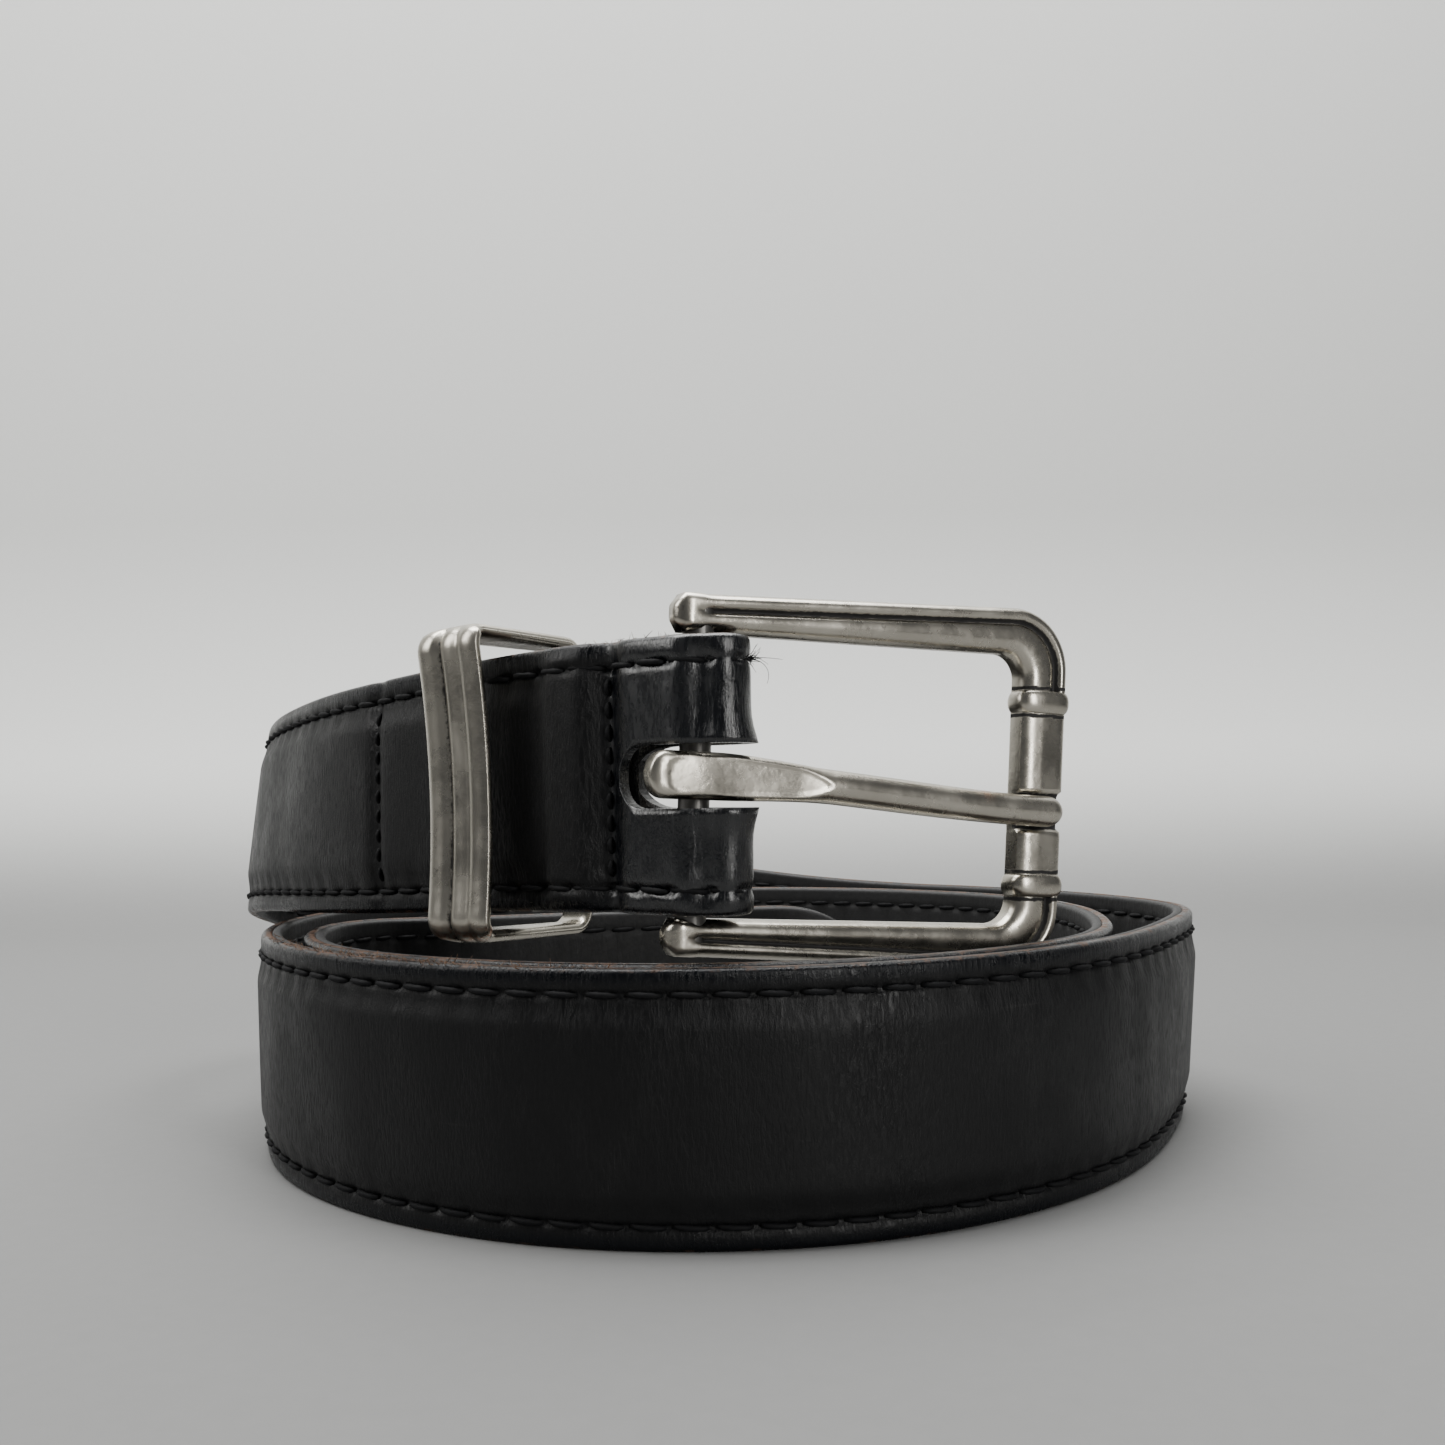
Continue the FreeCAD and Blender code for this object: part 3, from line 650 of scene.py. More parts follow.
def edge_fibres():
    """Short brown fibres raised along worn upper edges of the strap."""
    rng = np.random.default_rng(5)
    front = route.knots[FIBRE_STATION]
    strands = []
    for low, high, count in ((front - 30.0, front + 44.0, 900), (-4.0, 12.0, 170)):
        s = rng.uniform(low, high, count)
        share = bell(s - (low + high) / 2 - 4.0, (high - low) * 0.36)
        s = s[rng.uniform(0, 1, count) < share]
        centre, along, up, out = face_frames(s)
        relief = soft_relief(s, np.full(len(s), HALF))
        for i in range(len(s)):
            o = rng.uniform(-3.2, -1.0) + relief[i]
            root = centre[i] + up[i] * (HALF - 0.25) + out[i] * o
            length = rng.uniform(0.3, 0.95)
            reach = (up[i] * rng.uniform(0.1, 0.8) + along[i] * rng.normal(0, 0.7)
                     + out[i] * rng.normal(0.1, 0.6))
            bend = rng.normal(0, 0.3, 3)
            t = np.linspace(0, 1, 5)[:, None]
            strands.append(fibre(root + (reach + bend * t) * t * length, rng.uniform(0.035, 0.075)))
    return thread_object("edge_fibres", strands)


# ---------------------------------------------------------------- buckle

def buckle_axes():
    turn = math.radians(FRAME_TURN)
    tilt = math.radians(FRAME_TILT)
    forward = np.array([math.cos(turn) * math.cos(tilt), math.sin(turn) * math.cos(tilt), -math.sin(tilt)])
    up = np.array([math.sin(tilt) * math.cos(turn), math.sin(tilt) * math.sin(turn), math.cos(tilt)])
    return forward, up, np.cross(forward, up)


def from_buckle(points):
    """Local points (to the front bar, up the bar, outward) in the coil's frame."""
    forward, up, out = buckle_axes()
    points = np.asarray(points)
    return bar_centre + points[..., :1] * forward + points[..., 1:2] * up + points[..., 2:3] * out


def half_outline(leg_end, corner_x, corner_y, radius, count=(46, 17, 42)):
    """From a leg's tip, along its side, round the corner and down to the middle of the bar."""
    slope = math.atan2(corner_y - leg_end, corner_x + LEG_TIP)
    start = corner_x - math.cos(slope) * radius
    leg_x = np.linspace(-LEG_TIP, start, count[0])
    leg = np.stack([leg_x, leg_end + (leg_x + LEG_TIP) * math.tan(slope)], 1)
    angle = np.linspace(math.pi / 2 + slope, 0, count[1])[1:]
    normal = np.array([-math.sin(slope), math.cos(slope)])
    centre = leg[-1] - normal * radius
    centre[0] = corner_x - radius
    arc = centre + radius * np.stack([np.cos(angle), np.sin(angle)], 1)
    bar_y = np.linspace(arc[-1, 1], 0.0, count[2])[1:]
    bar = np.stack([np.full(len(bar_y), corner_x), bar_y], 1)
    return np.concatenate([leg, arc, bar])


def frame_path():
    """Matching points along the frame's outer side and its window, tip to tip."""
    inner = LEG_GAP / 2
    tip = inner + LEG_HEIGHT
    outer = half_outline(tip, FRAME_REACH, tip + LEG_FLARE, OUTER_CORNER)
    window = half_outline(inner, FRAME_REACH - FRONT_BAR_WIDTH, inner + LEG_SPREAD, INNER_CORNER)
    return [np.concatenate([half, half[::-1][1:] * [1, -1]]) for half in (outer, window)]


def roll(x, centre, half):
    """Height, 0 to 1, of a rounded roll."""
    return np.sqrt(np.maximum(1 - ((x - centre) / half) ** 2, 0))


def frame_section(width, depth):
    """Closed profile, inward from the outer edge: heights when plain, rolled and faceted."""
    count = 40
    x = (1 - np.cos(np.linspace(0, math.pi, count))) / 2
    inward = x * width
    half = depth / 2
    edge = np.minimum(inward, width - inward)
    round_over = roll(np.minimum(edge, 1.7), 1.7, 1.7)
    groove_at = 1.9
    groove = bell(inward - groove_at, 0.30)
    outer_roll = roll(inward, 0.95, 1.1)
    inner_half = (width - groove_at - 0.1) / 2
    inner_roll = roll(inward, width - inner_half, inner_half + 0.1)
    rolls = np.maximum(outer_roll, 0.93 * inner_roll)
    ribbed = half * (0.42 * round_over + 0.62 * rolls * np.minimum(1, 0.4 + round_over)) - 0.12 * groove
    ridge = 0.58 * width
    facet = np.where(inward < ridge, inward / ridge, (width - inward) / (width - ridge))
    faceted = half * (0.45 + 0.43 * round_over + 0.14 * facet)
    plain = half * (0.52 + 0.50 * roll(np.minimum(edge, 1.1), 1.1, 1.1))
    back = -half * (0.55 + 0.4 * round_over[::-1])
    profile_in = np.concatenate([inward, inward[::-1]])
    fronts = [np.concatenate([front, back]) for front in (plain, ribbed, faceted)]
    return profile_in, fronts, np.concatenate([groove, np.zeros(count)])


def make_frame():
    outer, window = frame_path()
    rings = []
    marks = []
    for start, end in zip(outer, window):
        width = np.linalg.norm(end - start)
        inward = (end - start) / width
        x = start[0]
        profile_in, (plain, ribbed, faceted), groove = frame_section(width, FRAME_DEPTH)
        tip_round = math.sqrt(max(1 - (1 - min((x + LEG_TIP) / LEG_TIP_LENGTH, 1)) ** 2, 0.0))
        squeeze = 0.45 + 0.55 * tip_round
        flat_points = start + inward * (width / 2 + (profile_in - width / 2) * squeeze)[:, None]
        local_x, local_y = flat_points.T
        on_bar = smooth((local_x - (FRAME_REACH - FRONT_BAR_WIDTH - 1.0)) / 0.4)
        on_bar = on_bar * smooth((COLLAR_OFFSET + 0.3 - np.abs(local_y - COLLAR_MIDDLE)) / 0.5)
        ribs = smooth((local_x + LEG_TIP - PLAIN_TIP) / 0.5)
        out = plain + (ribbed - plain) * ribs
        out = (out + (faceted - out) * on_bar) * (0.5 + 0.5 * tip_round)
        notch = smooth((NOTCH_WIDTH / 2 - np.abs(local_y + PRONG_DROOP)) / 0.5) * on_bar
        out = np.where(out > 0, out - NOTCH_DEPTH * notch, out)
        rings.append(np.concatenate([flat_points, out[:, None]], 1))
        from_collar = np.abs(np.abs(local_y - COLLAR_MIDDLE) - COLLAR_OFFSET)
        beside = bell(from_collar - COLLAR_LENGTH / 2 - 0.15, 0.25)
        beside = beside * (local_x > FRAME_REACH - FRONT_BAR_WIDTH - 1.0)
        marks.append(np.clip(groove * ribs * (1 - on_bar) + beside + 0.8 * notch * (out > 0), 0, 1))
    vertices, faces = tube(rings)
    piece = new_object("frame_casting", from_buckle(vertices), faces, [("patina", tube_values(marks))])
    face_outward(piece)
    return piece


def collar_rings(y):
    """One raised band round the front bar."""
    middle = FRAME_REACH - FRONT_BAR_WIDTH / 2
    half_w = FRONT_BAR_WIDTH / 2 + 0.55
    half_d = FRAME_DEPTH / 2 + 0.45
    angle = np.linspace(0, 2 * math.pi, 48, endpoint=False)
    power = 0.62
    shape_x = np.sign(np.cos(angle)) * np.abs(np.cos(angle)) ** power
    shape_z = np.sign(np.sin(angle)) * np.abs(np.sin(angle)) ** power
    rings = []
    for t in np.linspace(-1, 1, 17):
        shrink = 0.72 + 0.28 * math.sqrt(1 - abs(t) ** 2.2)
        inset = 0.45 if abs(t) == 1 else 0.0
        rings.append(np.stack([middle + shape_x * (half_w * shrink - inset),
                               np.full(48, y + t * COLLAR_LENGTH / 2),
                               shape_z * (half_d * shrink - inset)], 1))
    return rings


def make_collars():
    pieces = []
    for name, side in (("collar_upper", 1), ("collar_lower", -1)):
        vertices, faces = tube(collar_rings(COLLAR_MIDDLE + side * COLLAR_OFFSET))
        piece = new_object(name, from_buckle(vertices), faces, [("patina", np.zeros(len(vertices)))])
        face_outward(piece)
        pieces.append(piece)
    return pieces


def prong_body():
    """Rings of the prong: a rounded heel behind the bar, a flat base ending in an arch, a round shank."""
    lie = FRAME_DEPTH / 2 - 0.9 + PRONG_SHANK_RADIUS
    base_z = EYE_RADIUS - PRONG_THICKNESS / 2
    near = np.linspace(0, 1, 16)
    x = np.concatenate([-PRONG_HEEL + 3.0 * (1 - np.cos(near * math.pi / 2)), np.linspace(-3.55, 44.0, 110),
                        44.0 + 3.0 * np.sin(near[1:] * math.pi / 2)])
    angle = np.linspace(0, 2 * math.pi, 48, endpoint=False)
    rings = []
    wear = []
    for u in x:
        shank = float(smooth((u - 11.0) / 4.0))
        slim = float(smooth((u - 1.0) / 15.0))
        half_v = (PRONG_HEIGHT / 2 + 0.15) * (1 - slim) + PRONG_SHANK_RADIUS * slim
        half_n = PRONG_THICKNESS / 2 * (1 - shank) + PRONG_SHANK_RADIUS * shank
        taper = 1 - 0.05 * float(smooth((u - 22) / 22))
        heel = math.sqrt(max(1 - max((-PRONG_HEEL + 2.2 - u) / 2.2, 0.0) ** 2.4, 0.003))
        tip = math.sqrt(max(1 - max((u - PRONG_REACH + 2.1) / 2.1, 0.0) ** 2, 0.003))
        round_v = 0.45 + 0.55 * shank
        v = np.sign(np.cos(angle)) * np.abs(np.cos(angle)) ** round_v * half_v * taper * heel * tip
        n = np.sign(np.sin(angle)) * np.abs(np.sin(angle)) ** (0.55 + 0.45 * shank)
        n = n * half_n * taper * (0.45 + 0.55 * heel) * tip
        arch = (half_v - 0.5) * math.sqrt(max(1 - max((u - 10.0) / 4.6, 0.0) ** 2, 0.0))
        arch = arch * math.sqrt(max(1 - max((-PRONG_HEEL + 4.0 - u) / 2.6, 0.0) ** 2, 0.0))
        flat = smooth((arch - np.abs(v)) / 0.3) * (n > 0)
        rim = bell(np.abs(v) - arch, 0.22) * (n > 0) * (arch > 0.1)
        cap = half_n * 0.90 - 0.02 - 0.10 * (v / half_v) ** 2 + 0.16 * float(bell(u + 0.5, 3.2))
        n = n * (1 - flat) + np.minimum(n, cap) * flat + 0.06 * rim
        height = base_z + (lie - base_z) * float(smooth(u / PRONG_REACH))
        droop = -PRONG_DROOP * float(smooth(u / PRONG_REACH))
        rings.append(np.stack([np.full(48, u), v + droop, height + n], 1))
        wear.append(0.62 * bell(u - WORN_AT, 1.3) * (n > 0) * smooth(v / half_v))
    return rings, wear


def eye_rings():
    """The prong's eye round the bar, closed on itself and just under the base's face."""
    outer = EYE_RADIUS - 0.45
    middle = (BAR_RADIUS + 0.1 + outer) / 2
    half_n = (outer - BAR_RADIUS - 0.1) / 2
    half_v = PRONG_HEIGHT / 2 - 0.35
    angle = np.linspace(0, 2 * math.pi, 28, endpoint=False)
    rings = []
    for turn in np.linspace(0, 2 * math.pi, 48, endpoint=False):
        side = np.array([math.cos(turn), 0.0, math.sin(turn)])
        n = np.sign(np.sin(angle)) * np.abs(np.sin(angle)) ** 0.5 * half_n
        v = np.sign(np.cos(angle)) * np.abs(np.cos(angle)) ** 0.5 * half_v
        rings.append(side * (middle + n)[:, None] + np.array([0.0, 1.0, 0.0]) * v[:, None])
    return rings


def make_prong():
    rings, wear = prong_body()
    vertices, faces = tube(rings)
    eye, eye_faces = tube(eye_rings(), closed_path=True)
    faces = faces + [tuple(i + len(vertices) for i in face) for face in eye_faces]
    patina = np.concatenate([np.zeros(len(vertices)), np.full(len(eye), 0.25)])
    copper = np.concatenate([tube_values(wear), np.zeros(len(eye))])
    piece = new_object("prong_casting", from_buckle(np.concatenate([vertices, eye])), faces,
                       [("patina", patina), ("copper", copper)])
    face_outward(piece)
    return piece


# ---------------------------------------------------------------- keeper

def make_keeper():
    """Loop round the strap: a ribbed, dished front bar and flat arms that narrow to the rear."""
    half = KEEPER_HEIGHT / 2 - KEEPER_WALL / 2
    rear = -KEEPER_DEPTH + KEEPER_WALL / 2
    front = -KEEPER_WALL / 2
    corner = 2.4
    path = []
    for w in np.linspace(-half + corner, half - corner, 60):
        path.append((front, w))
    for a in np.radians(np.linspace(0, 90, 9))[1:-1]:
        path.append((front - corner + corner * math.cos(a), half - corner + corner * math.sin(a)))
    for o in np.linspace(front - corner, rear + corner, 24):
        path.append((o, half))
    for a in np.radians(np.linspace(90, 180, 9))[1:-1]:
        path.append((rear + corner + corner * math.cos(a), half - corner + corner * math.sin(a)))
    for w in np.linspace(half - corner, -half + corner, 30):
        path.append((rear, w))
    for a in np.radians(np.linspace(180, 270, 9))[1:-1]:
        path.append((rear + corner + corner * math.cos(a), -half + corner + corner * math.sin(a)))
    for o in np.linspace(rear + corner, front - corner, 24):
        path.append((o, -half))
    for a in np.radians(np.linspace(270, 360, 9))[1:-1]:
        path.append((front - corner + corner * math.cos(a), -half + corner + corner * math.sin(a)))
    path = np.array(path)
    ahead = np.roll(path, -1, 0) - np.roll(path, 1, 0)
    tangent = unit(ahead)
    outward = np.stack([tangent[:, 1], -tangent[:, 0]], 1)
    count = 34
    t = (1 - np.cos(np.linspace(0, math.pi, count))) - 1
    rings = []
    marks = []
    wear = []
    for (o, w), side in zip(path, outward):
        share = np.clip((front - o) / (front - rear), 0, 1)
        width = KEEPER_FRONT_WIDTH * 0.5 * (1 - share) + KEEPER_REAR_WIDTH * 0.5 * share
        ribbed = smooth((o - front + 1.8) / 1.2)
        width = width * (1 - 0.22 * (1 - ribbed) * (1 - share)) + 0.1 * ribbed
        tt = t * width
        groove_at = 1.35
        left = roll(tt, (groove_at + width) / 2 + 0.15, (width - groove_at) / 2)
        right_width = (width + groove_at) / 4
        first = roll(tt, right_width - width, right_width * 1.08)
        second = roll(tt, groove_at - right_width - 0.25, right_width * 1.08)
        rolls = np.maximum(np.maximum(left, first), second)
        groove = bell(tt - groove_at, 0.34) * ribbed
        plain = np.sqrt(np.maximum(1 - np.abs(t) ** 6, 0)) * 0.85
        top = (plain * (1 - ribbed) + (0.1 + 0.95 * rolls) * ribbed) * KEEPER_WALL / 2 - 0.45 * groove
        bottom = -KEEPER_WALL / 2 * np.sqrt(np.maximum(1 - np.abs(t) ** 6, 0)) * 0.9
        height = np.concatenate([top, bottom[::-1]])
        across = np.concatenate([tt, tt[::-1]])
        dish = 1.3 * (1 - min(abs(w) / half, 1) ** 2) * smooth((o + 6) / 4)
        rings.append(np.stack([across, np.full(2 * count, w) + side[1] * height,
                               np.full(2 * count, o) + side[0] * height - dish], 1))
        marks.append(np.concatenate([groove, np.zeros(count)]))
        wear.append(np.full(2 * count, smooth((-w - half + 1.6) / 1.2) * ribbed))
    vertices, faces = tube(rings, closed_path=True)
    centre, along, up, out = [p[0] for p in front_frames([KEEPER_AT])]
    placed = (centre + out * KEEPER_STANDOFF + vertices[:, :1] * along
              + vertices[:, 1:2] * up + vertices[:, 2:3] * out)
    piece = new_object("keeper_loop", placed, faces,
                       [("patina", tube_values(marks, True)), ("copper", tube_values(wear, True))])
    face_outward(piece)
    return piece


# ---------------------------------------------------------------- material nodes

class Shader:
    """A node material and the few node patterns the finishes share."""

    def __init__(self, name):
        self.material = bpy.data.materials.new(name)
        self.material.use_nodes = True
        self.tree = self.material.node_tree
        self.tree.nodes.clear()
        self.surface = self.node("ShaderNodeBsdfPrincipled")
        output = self.node("ShaderNodeOutputMaterial")
        self.link(self.surface.outputs["BSDF"], output.inputs["Surface"])
        self.coords = self.node("ShaderNodeTexCoord").outputs["Object"]

    def node(self, kind, **settings):
        made = self.tree.nodes.new(kind)
        for key, value in settings.items():
            setattr(made, key, value)
        return made

    def link(self, source, target):
        if isinstance(source, (int, float)):
            target.default_value = source
        else:
            self.tree.links.new(source, target)

    def attribute(self, name, output="Fac"):
        return self.node("ShaderNodeAttribute", attribute_name=name).outputs[output]

    def math(self, operation, a, b=0.0, clamp=False):
        made = self.node("ShaderNodeMath", operation=operation, use_clamp=clamp)
        self.link(a, made.inputs[0])
        self.link(b, made.inputs[1])
        return made.outputs[0]

    def scaled(self, vector, scale):
        made = self.node("ShaderNodeMapping")
        self.link(vector, made.inputs["Vector"])
        made.inputs["Scale"].default_value = scale
        return made.outputs["Vector"]

    def noise(self, vector, scale, detail=4.0, roughness=0.55, distortion=0.0):
        made = self.node("ShaderNodeTexNoise")
        self.link(vector, made.inputs["Vector"])
        made.inputs["Scale"].default_value = scale
        made.inputs["Detail"].default_value = detail
        made.inputs["Roughness"].default_value = roughness
        made.inputs["Distortion"].default_value = distortion
        return made.outputs["Fac"]

    def cells(self, vector, scale, feature="DISTANCE_TO_EDGE"):
        made = self.node("ShaderNodeTexVoronoi", feature=feature)
        self.link(vector, made.inputs["Vector"])
        made.inputs["Scale"].default_value = scale
        return made.outputs["Distance"]

    def steps(self, value, low, high, out_low=0.0, out_high=1.0):
        made = self.node("ShaderNodeMapRange", interpolation_type="SMOOTHSTEP")
        self.link(value, made.inputs["Value"])
        for key, number in (("From Min", low), ("From Max", high), ("To Min", out_low), ("To Max", out_high)):
            made.inputs[key].default_value = number
        return made.outputs["Result"]

    def mix(self, share, a, b):
        made = self.node("ShaderNodeMix", data_type="RGBA")
        self.link(share, made.inputs["Factor"])
        for value, socket in ((a, made.inputs[6]), (b, made.inputs[7])):
            if isinstance(value, tuple):
                socket.default_value = value + (1.0,)
            else:
                self.link(value, socket)
        return made.outputs[2]

    def bump(self, height, distance, strength=1.0, below=None):
        made = self.node("ShaderNodeBump")
        made.inputs["Distance"].default_value = distance
        made.inputs["Strength"].default_value = strength
        self.link(height, made.inputs["Height"])
        if below is not None:
            self.link(below, made.inputs["Normal"])
        return made.outputs["Normal"]

    def set(self, **values):
        for key, value in values.items():
            socket = self.surface.inputs[key.replace("_", " ")]
            if isinstance(value, tuple):
                socket.default_value = value + (1.0,)
            else:
                self.link(value, socket)
        return self.material


def strap_leather():
    """Black waxed grain: fine creases across the strap, darker glossy edges, worn brown fibres."""
    shader = Shader("strap leather")
    unrolled = shader.attribute("strap_mm", "Vector")
    parts = shader.node("ShaderNodeSeparateXYZ")
    shader.link(unrolled, parts.inputs["Vector"])
    across = shader.math("ABSOLUTE", parts.outputs["Y"])
    depth = parts.outputs["Z"]
    broad = shader.noise(unrolled, 0.045, 3.0)
    patches = shader.steps(shader.noise(shader.scaled(unrolled, (1.0, 0.6, 1.0)), 0.11, 4.0), 0.38, 0.66)
    scratched = shader.noise(shader.scaled(unrolled, (0.045, 1.9, 1.0)), 1.0, 2.0, 0.4, 0.25)
    scratched = shader.math("MULTIPLY", shader.steps(scratched, 0.735, 0.765), shader.steps(broad, 0.45, 0.6))
    creases = shader.noise(shader.scaled(unrolled, (2.6, 0.55, 1.0)), 1.0, 5.0, 0.62, 0.5)
    creases = shader.steps(creases, 0.30, 0.62)
    fine = shader.noise(shader.scaled(unrolled, (1.6, 1.0, 1.0)), 3.2, 4.0, 0.6)
    pores = shader.steps(shader.cells(unrolled, 2.3), 0.02, 0.16)
    edge = shader.steps(across, 13.0, 14.0)
    wear = shader.noise(unrolled, 0.5, 5.0, 0.7)
    brown = shader.math("MULTIPLY", shader.steps(across, 14.5, 14.95), shader.steps(wear, 0.53, 0.63))
    raw = shader.math("MULTIPLY", shader.steps(across, 14.6, 14.95), shader.steps(depth, -1.1, -1.45))
    brown = shader.math("MAXIMUM", brown, shader.math("MULTIPLY", raw, shader.steps(wear, 0.40, 0.55)))
    folded = shader.steps(parts.outputs["X"], 10.5, 7.5)
    face = shader.mix(broad, (0.0012, 0.0013, 0.0016), (0.0022, 0.0023, 0.0027))
    face = shader.mix(shader.math("MULTIPLY", patches, creases), face, (0.0036, 0.0037, 0.0041))
    glossy = shader.math("MAXIMUM", edge, shader.math("MULTIPLY", folded, 1.15))
    colour = shader.mix(glossy, face, (0.0009, 0.0014, 0.0026))
    colour = shader.mix(shader.math("MULTIPLY", scratched, 0.5), colour, (0.020, 0.019, 0.019))
    colour = shader.mix(brown, colour, (0.075, 0.040, 0.024))
    roughness = shader.steps(creases, 0.0, 1.0, 0.52, 0.40)
    roughness = shader.math("ADD", roughness, shader.steps(patches, 0.0, 1.0, 0.05, -0.04))
    roughness = shader.math("SUBTRACT", roughness, shader.math("MULTIPLY", glossy, 0.16))
    roughness = shader.math("ADD", roughness, shader.math("MULTIPLY", brown, 0.25))
    height = shader.math("MULTIPLY", creases, shader.steps(patches, 0.0, 1.0, 0.45, 1.0))
    height = shader.math("ADD", height, shader.math("MULTIPLY", fine, 0.5))
    height = shader.math("ADD", height, shader.math("MULTIPLY", pores, 0.08))
    height = shader.math("MULTIPLY", height, shader.steps(folded, 0.0, 1.0, 1.0, 0.35))
    crinkle = shader.noise(shader.scaled(unrolled, (1.3, 0.8, 1.0)), 1.1, 5.0, 0.65, 0.4)
    height = shader.math("ADD", height, shader.math("MULTIPLY", crinkle, folded))
    normal = shader.bump(height, 0.00006, 0.9)
    gloss = shader.steps(folded, 0.0, 1.0, 0.26, 0.75)
    return shader.set(Base_Color=colour, Roughness=roughness, Normal=normal, Specular_IOR_Level=gloss)


def lining_leather():
    """Matt black split leather with a soft short nap."""
    shader = Shader("lining leather")
    unrolled = shader.attribute("strap_mm", "Vector")
    nap = shader.noise(unrolled, 1.6, 6.0, 0.7)
    soft = shader.noise(unrolled, 0.09, 3.0)
    creases = shader.steps(shader.noise(shader.scaled(unrolled, (1.5, 0.35, 1.0)), 0.8, 4.0), 0.35, 0.6)
    colour = shader.mix(nap, (0.0035, 0.0037, 0.0042), (0.010, 0.010, 0.0102))
    colour = shader.mix(shader.steps(soft, 0.35, 0.7, 0.0, 0.5), colour, (0.006, 0.006, 0.0064))
    height = shader.math("ADD", shader.math("MULTIPLY", nap, 0.8), shader.math("MULTIPLY", creases, 0.5))
    normal = shader.bump(height, 0.00008, 0.7)
    roughness = shader.steps(nap, 0.3, 0.7, 0.72, 0.58)
    return shader.set(Base_Color=colour, Roughness=roughness, Normal=normal)


def filler_board():
    """Brown leather board with a fibrous grain."""
    shader = Shader("filler board")
    fibre = shader.noise(shader.scaled(shader.coords, (1.0, 1.0, 3.0)), 900.0, 6.0, 0.7)
    colour = shader.mix(fibre, (0.09, 0.055, 0.033), (0.24, 0.16, 0.10))
    normal = shader.bump(fibre, 0.0002, 0.7)
    return shader.set(Base_Color=colour, Roughness=0.85, Normal=normal)


def raw_fibre():
    """Undyed brown fibres of worn leather."""
    shader = Shader("raw fibre")
    tone = shader.noise(shader.coords, 700.0, 3.0)
    colour = shader.mix(shader.steps(tone, 0.35, 0.65), (0.030, 0.017, 0.010), (0.16, 0.085, 0.042))
    return shader.set(Base_Color=colour, Roughness=0.8)


def waxed_thread():
    """Black bonded thread, its plies twisted."""
    shader = Shader("waxed thread")
    fibre = shader.noise(shader.coords, 2600.0, 4.0, 0.6)
    colour = shader.mix(fibre, (0.0012, 0.0013, 0.0017), (0.0045, 0.0047, 0.0056))
    normal = shader.bump(fibre, 0.00006, 0.6)
    return shader.set(Base_Color=colour, Roughness=0.72, Normal=normal, Specular_IOR_Level=0.2)


def antique_nickel():
    """Warm grey cast metal with black patina in the grooves and copper showing at worn places."""
    shader = Shader("antique nickel")
    patina = shader.attribute("patina")
    copper = shader.attribute("copper")
    cloud = shader.noise(shader.coords, 190.0, 5.0, 0.6)
    speck = shader.noise(shader.coords, 1100.0, 5.0, 0.7)
    ragged = shader.math("ADD", patina, shader.math("MULTIPLY", shader.math("SUBTRACT", speck, 0.5), 0.9))
    dark = shader.math("MULTIPLY", shader.steps(ragged, 0.30, 0.62), shader.steps(patina, 0.02, 0.22))
    spots = shader.steps(shader.noise(shader.coords, 620.0, 3.0), 0.68, 0.75)
    metal = shader.mix(cloud, (0.42, 0.392, 0.335), (0.60, 0.568, 0.497))
    metal = shader.mix(shader.math("MULTIPLY", spots, 0.55), metal, (0.12, 0.11, 0.10))
    worn = shader.math("MULTIPLY", copper, shader.steps(speck, 0.38, 0.58))
    metal = shader.mix(worn, metal, (0.42, 0.20, 0.11))
    colour = shader.mix(dark, metal, (0.022, 0.021, 0.021))
    roughness = shader.steps(cloud, 0.3, 0.7, 0.22, 0.33)
    roughness = shader.math("ADD", roughness, shader.math("MULTIPLY", dark, 0.35))
    metallic = shader.steps(dark, 0.0, 1.0, 1.0, 0.5)
    dents = shader.math("ADD", shader.math("MULTIPLY", shader.noise(shader.coords, 330.0, 3.0), 1.0),
                        shader.math("MULTIPLY", speck, 0.22))
    normal = shader.bump(dents, 0.00012, 0.55)
    return shader.set(Base_Color=colour, Roughness=roughness, Metallic=metallic, Normal=normal)


def bar_nickel_with_painted_shade():
    """The heel bar: duller drawn metal. Its colour is also kept dark as painted shade for the bar inside the
    leather fold, seen through the slot.
    """
    shader = Shader("plain nickel")
    drawn = shader.noise(shader.scaled(shader.coords, (1.0, 1.0, 0.04)), 2200.0, 4.0)
    # darker than the frame's nickel: partly the duller metal, partly painted shade of the fold's interior
    colour = shader.mix(drawn, (0.10, 0.097, 0.092), (0.20, 0.195, 0.185))
    normal = shader.bump(drawn, 0.00004, 0.5)
    return shader.set(Base_Color=colour, Roughness=0.42, Metallic=1.0, Normal=normal)


def studio_paper():
    """The surface under the belt and behind it, one cloth: the floor's darker colour is painted shade and the
    backdrop's paler colour is painted light.
    """
    shader = Shader("studio paper")
    tooth = shader.noise(shader.coords, 420.0, 4.0)
    parts = shader.node("ShaderNodeSeparateXYZ")
    shader.link(shader.coords, parts.inputs["Vector"])
    # floor colour darker as painted shade, backdrop colour paler as painted light, blended by height
    low = shader.mix(tooth, (0.185, 0.186, 0.184), (0.20, 0.201, 0.199))
    high = shader.mix(tooth, (0.62, 0.625, 0.61), (0.64, 0.645, 0.63))
    colour = shader.mix(shader.steps(parts.outputs["Z"], 0.0, 0.07), low, high)
    return shader.set(Base_Color=colour, Roughness=0.7, Specular_IOR_Level=0.2)


# ---------------------------------------------------------------- assembly

def finish_piece(piece, material, body, replaced=()):
    piece.data.materials.clear()
    piece.data.materials.append(material)
    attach(piece, body)
    if replaced:
        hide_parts(*replaced)


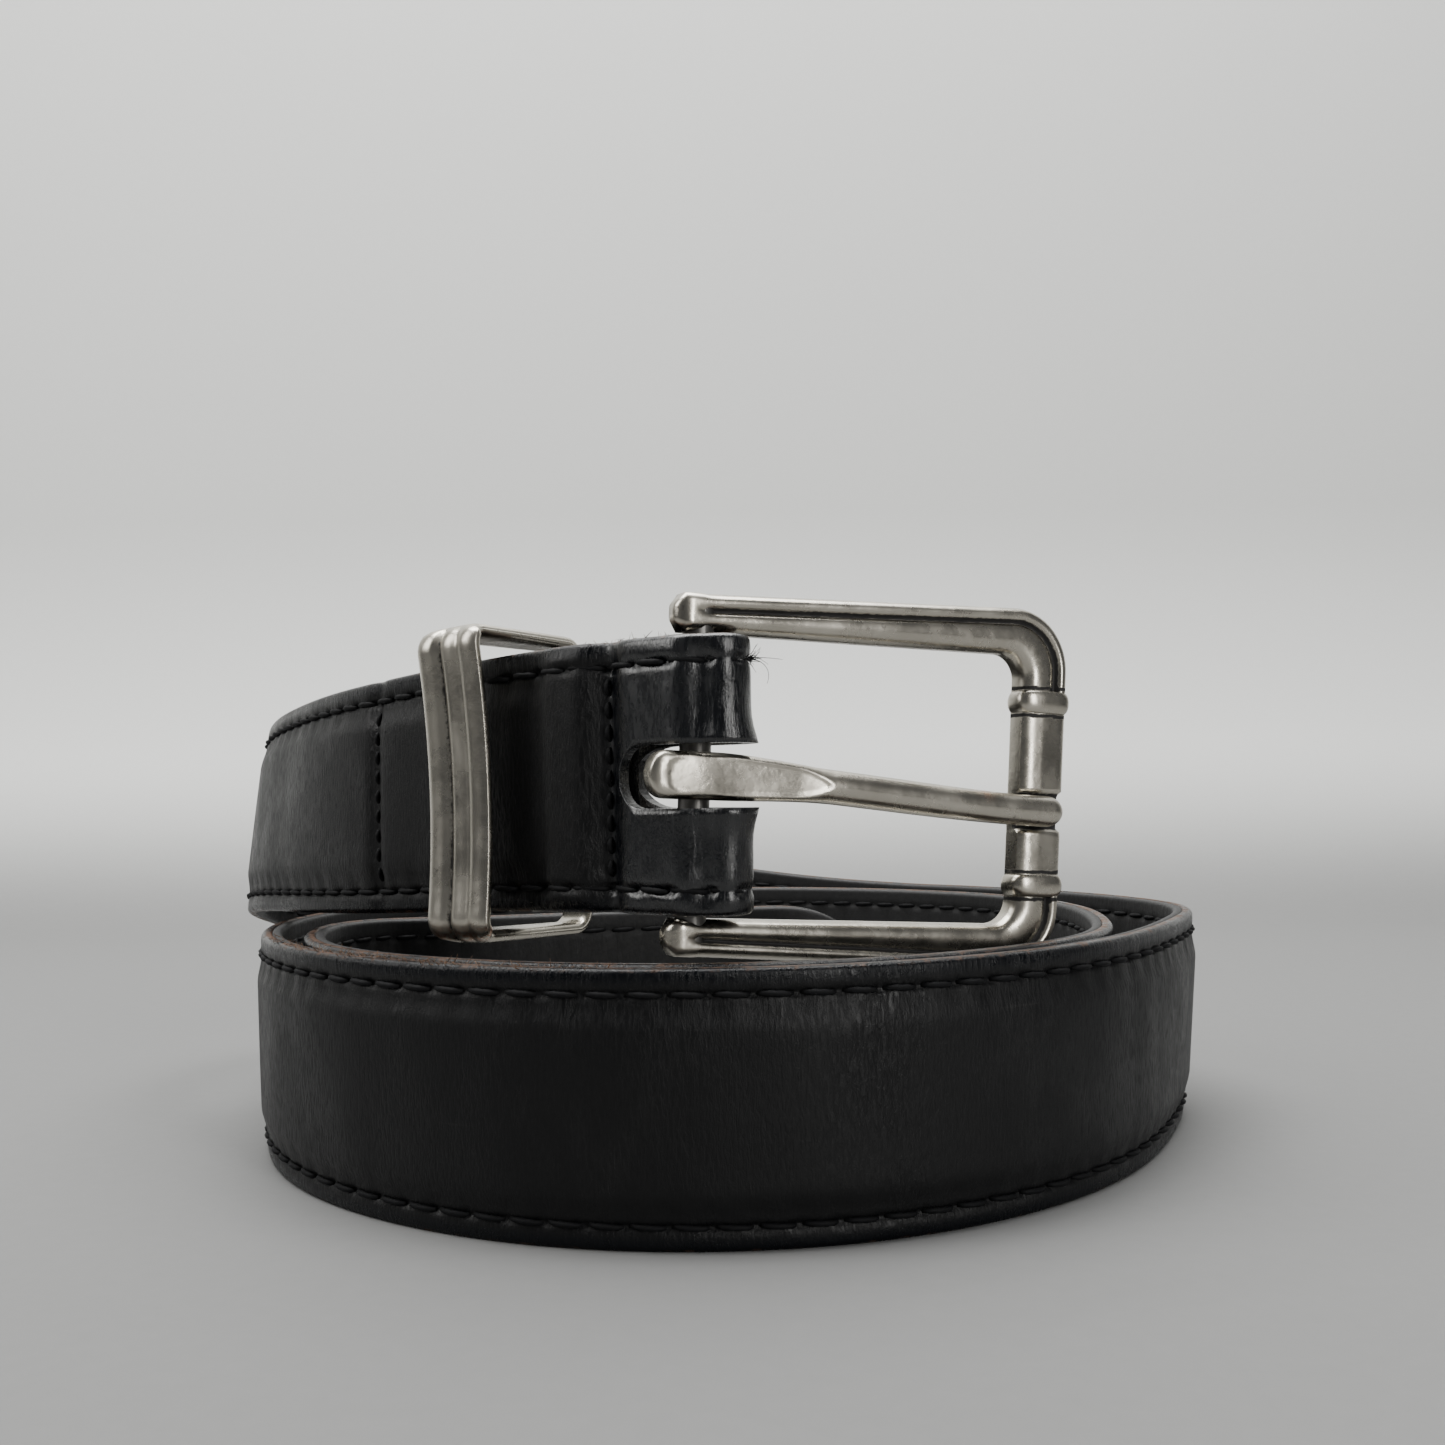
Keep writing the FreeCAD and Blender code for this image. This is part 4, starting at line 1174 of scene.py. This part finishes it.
def dress_strap():
    leather = strap_leather()
    thread = waxed_thread()
    finish_piece(make_outer_strap(), leather, "strap", ["outer_strap"])
    finish_piece(make_lining(), lining_leather(), "strap", ["lining_strap"])
    for name, node, side in (("stitches_upper", "edge_stitches_upper", 1),
                             ("stitches_lower", "edge_stitches_lower", -1)):
        finish_piece(thread_object(name, edge_stitches(side)), thread, "strap", [node])
    for name, node, place in (("stitches_fold", "cross_stitches_fold", CROSS_STITCH_AT[0]),
                              ("stitches_tab", "cross_stitches_tab", CROSS_STITCH_AT[1])):
        finish_piece(thread_object(name, cross_stitches(place)), thread, "strap", [node])
    finish_piece(frayed_end(), thread, "strap")
    finish_piece(edge_fibres(), raw_fibre(), "strap")
    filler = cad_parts["strap_filler"]
    filler.data.materials.clear()
    filler.data.materials.append(filler_board())


def dress_metal():
    nickel = antique_nickel()
    finish_piece(make_frame(), nickel, "buckle", ["buckle_frame"])
    for collar in make_collars():
        finish_piece(collar, nickel, "buckle")
    finish_piece(make_prong(), nickel, "prong", ["prong"])
    finish_piece(make_keeper(), nickel, "keeper", ["keeper"])
    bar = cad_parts["heel_bar"]
    bar.data.materials.clear()
    bar.data.materials.append(bar_nickel_with_painted_shade())


# ---------------------------------------------------------------- studio

def make_backdrop():
    """Floor that curves up into a backdrop well behind the belt."""
    front = -1.6
    back = 0.42
    bend = 0.17
    profile = [(front, 0.0), (back - bend, 0.0)]
    for i in range(1, 17):
        a = i / 16 * math.pi / 2
        profile.append((back - bend + bend * math.sin(a), bend - bend * math.cos(a)))
    profile.append((back, 3.0))
    vertices = []
    for x in (-3.0, 3.0):
        vertices += [(x, y, z) for y, z in profile]
    count = len(profile)
    faces = [(j, j + 1, count + j + 1, count + j) for j in range(count - 1)]
    mesh = bpy.data.meshes.new("backdrop")
    mesh.from_pydata(vertices, [], faces)
    mesh.shade_smooth()
    floor = bpy.data.objects.new("backdrop", mesh)
    bpy.context.scene.collection.objects.link(floor)
    floor.data.materials.append(studio_paper())


def area_light(name, place, target, size, power, colour):
    light = bpy.data.lights.new(name, "AREA")
    light.shape = "RECTANGLE"
    light.size, light.size_y = size
    light.energy = power
    light.color = colour
    lamp = bpy.data.objects.new(name, light)
    lamp.location = place
    lamp.rotation_euler = (Vector(target) - Vector(place)).to_track_quat("-Z", "Y").to_euler()
    bpy.context.scene.collection.objects.link(lamp)


def make_lights():
    middle = (0.0, 0.0, 0.03)
    area_light("top_light", (-0.05, 0.12, 0.8), middle, (0.9, 0.5), 11.0, (1.0, 0.995, 0.985))
    area_light("left_light", (-0.7, -0.15, 0.5), middle, (0.35, 0.5), 3.0, (1.0, 0.99, 0.97))
    area_light("front_light", (0.5, -0.75, 0.33), middle, (0.16, 0.62), 4.6, (1.0, 0.99, 0.97))
    area_light("backdrop_light", (0.0, 0.0, 1.1), (0.0, 0.45, 0.25), (1.2, 0.3), 9.0, (1.0, 1.0, 1.0))
    world = bpy.data.worlds.new("studio")
    world.use_nodes = True
    world.node_tree.nodes["Background"].inputs["Color"].default_value = (0.9, 0.92, 0.95, 1.0)
    world.node_tree.nodes["Background"].inputs["Strength"].default_value = 0.12
    bpy.context.scene.world = world


def make_camera():
    """Camera in front of the buckle, low, looking slightly down."""
    pitch = math.radians(3.56)
    roll = math.radians(-0.84)
    camera = bpy.data.cameras.new("camera")
    camera.sensor_width = 36.0
    camera.lens = 36.0
    camera.shift_y = 0.11
    camera.clip_start = 0.01
    lens = bpy.data.objects.new("camera", camera)
    look = Matrix.Rotation(math.pi / 2 - pitch, 4, "X") @ Matrix.Rotation(roll, 4, "Z")
    look.translation = Vector(to_row([-2.9, -219.8, 48.2]).tolist())
    lens.matrix_world = look
    bpy.context.scene.collection.objects.link(lens)
    bpy.context.scene.camera = lens


dress_strap()
dress_metal()
make_backdrop()
make_lights()
make_camera()
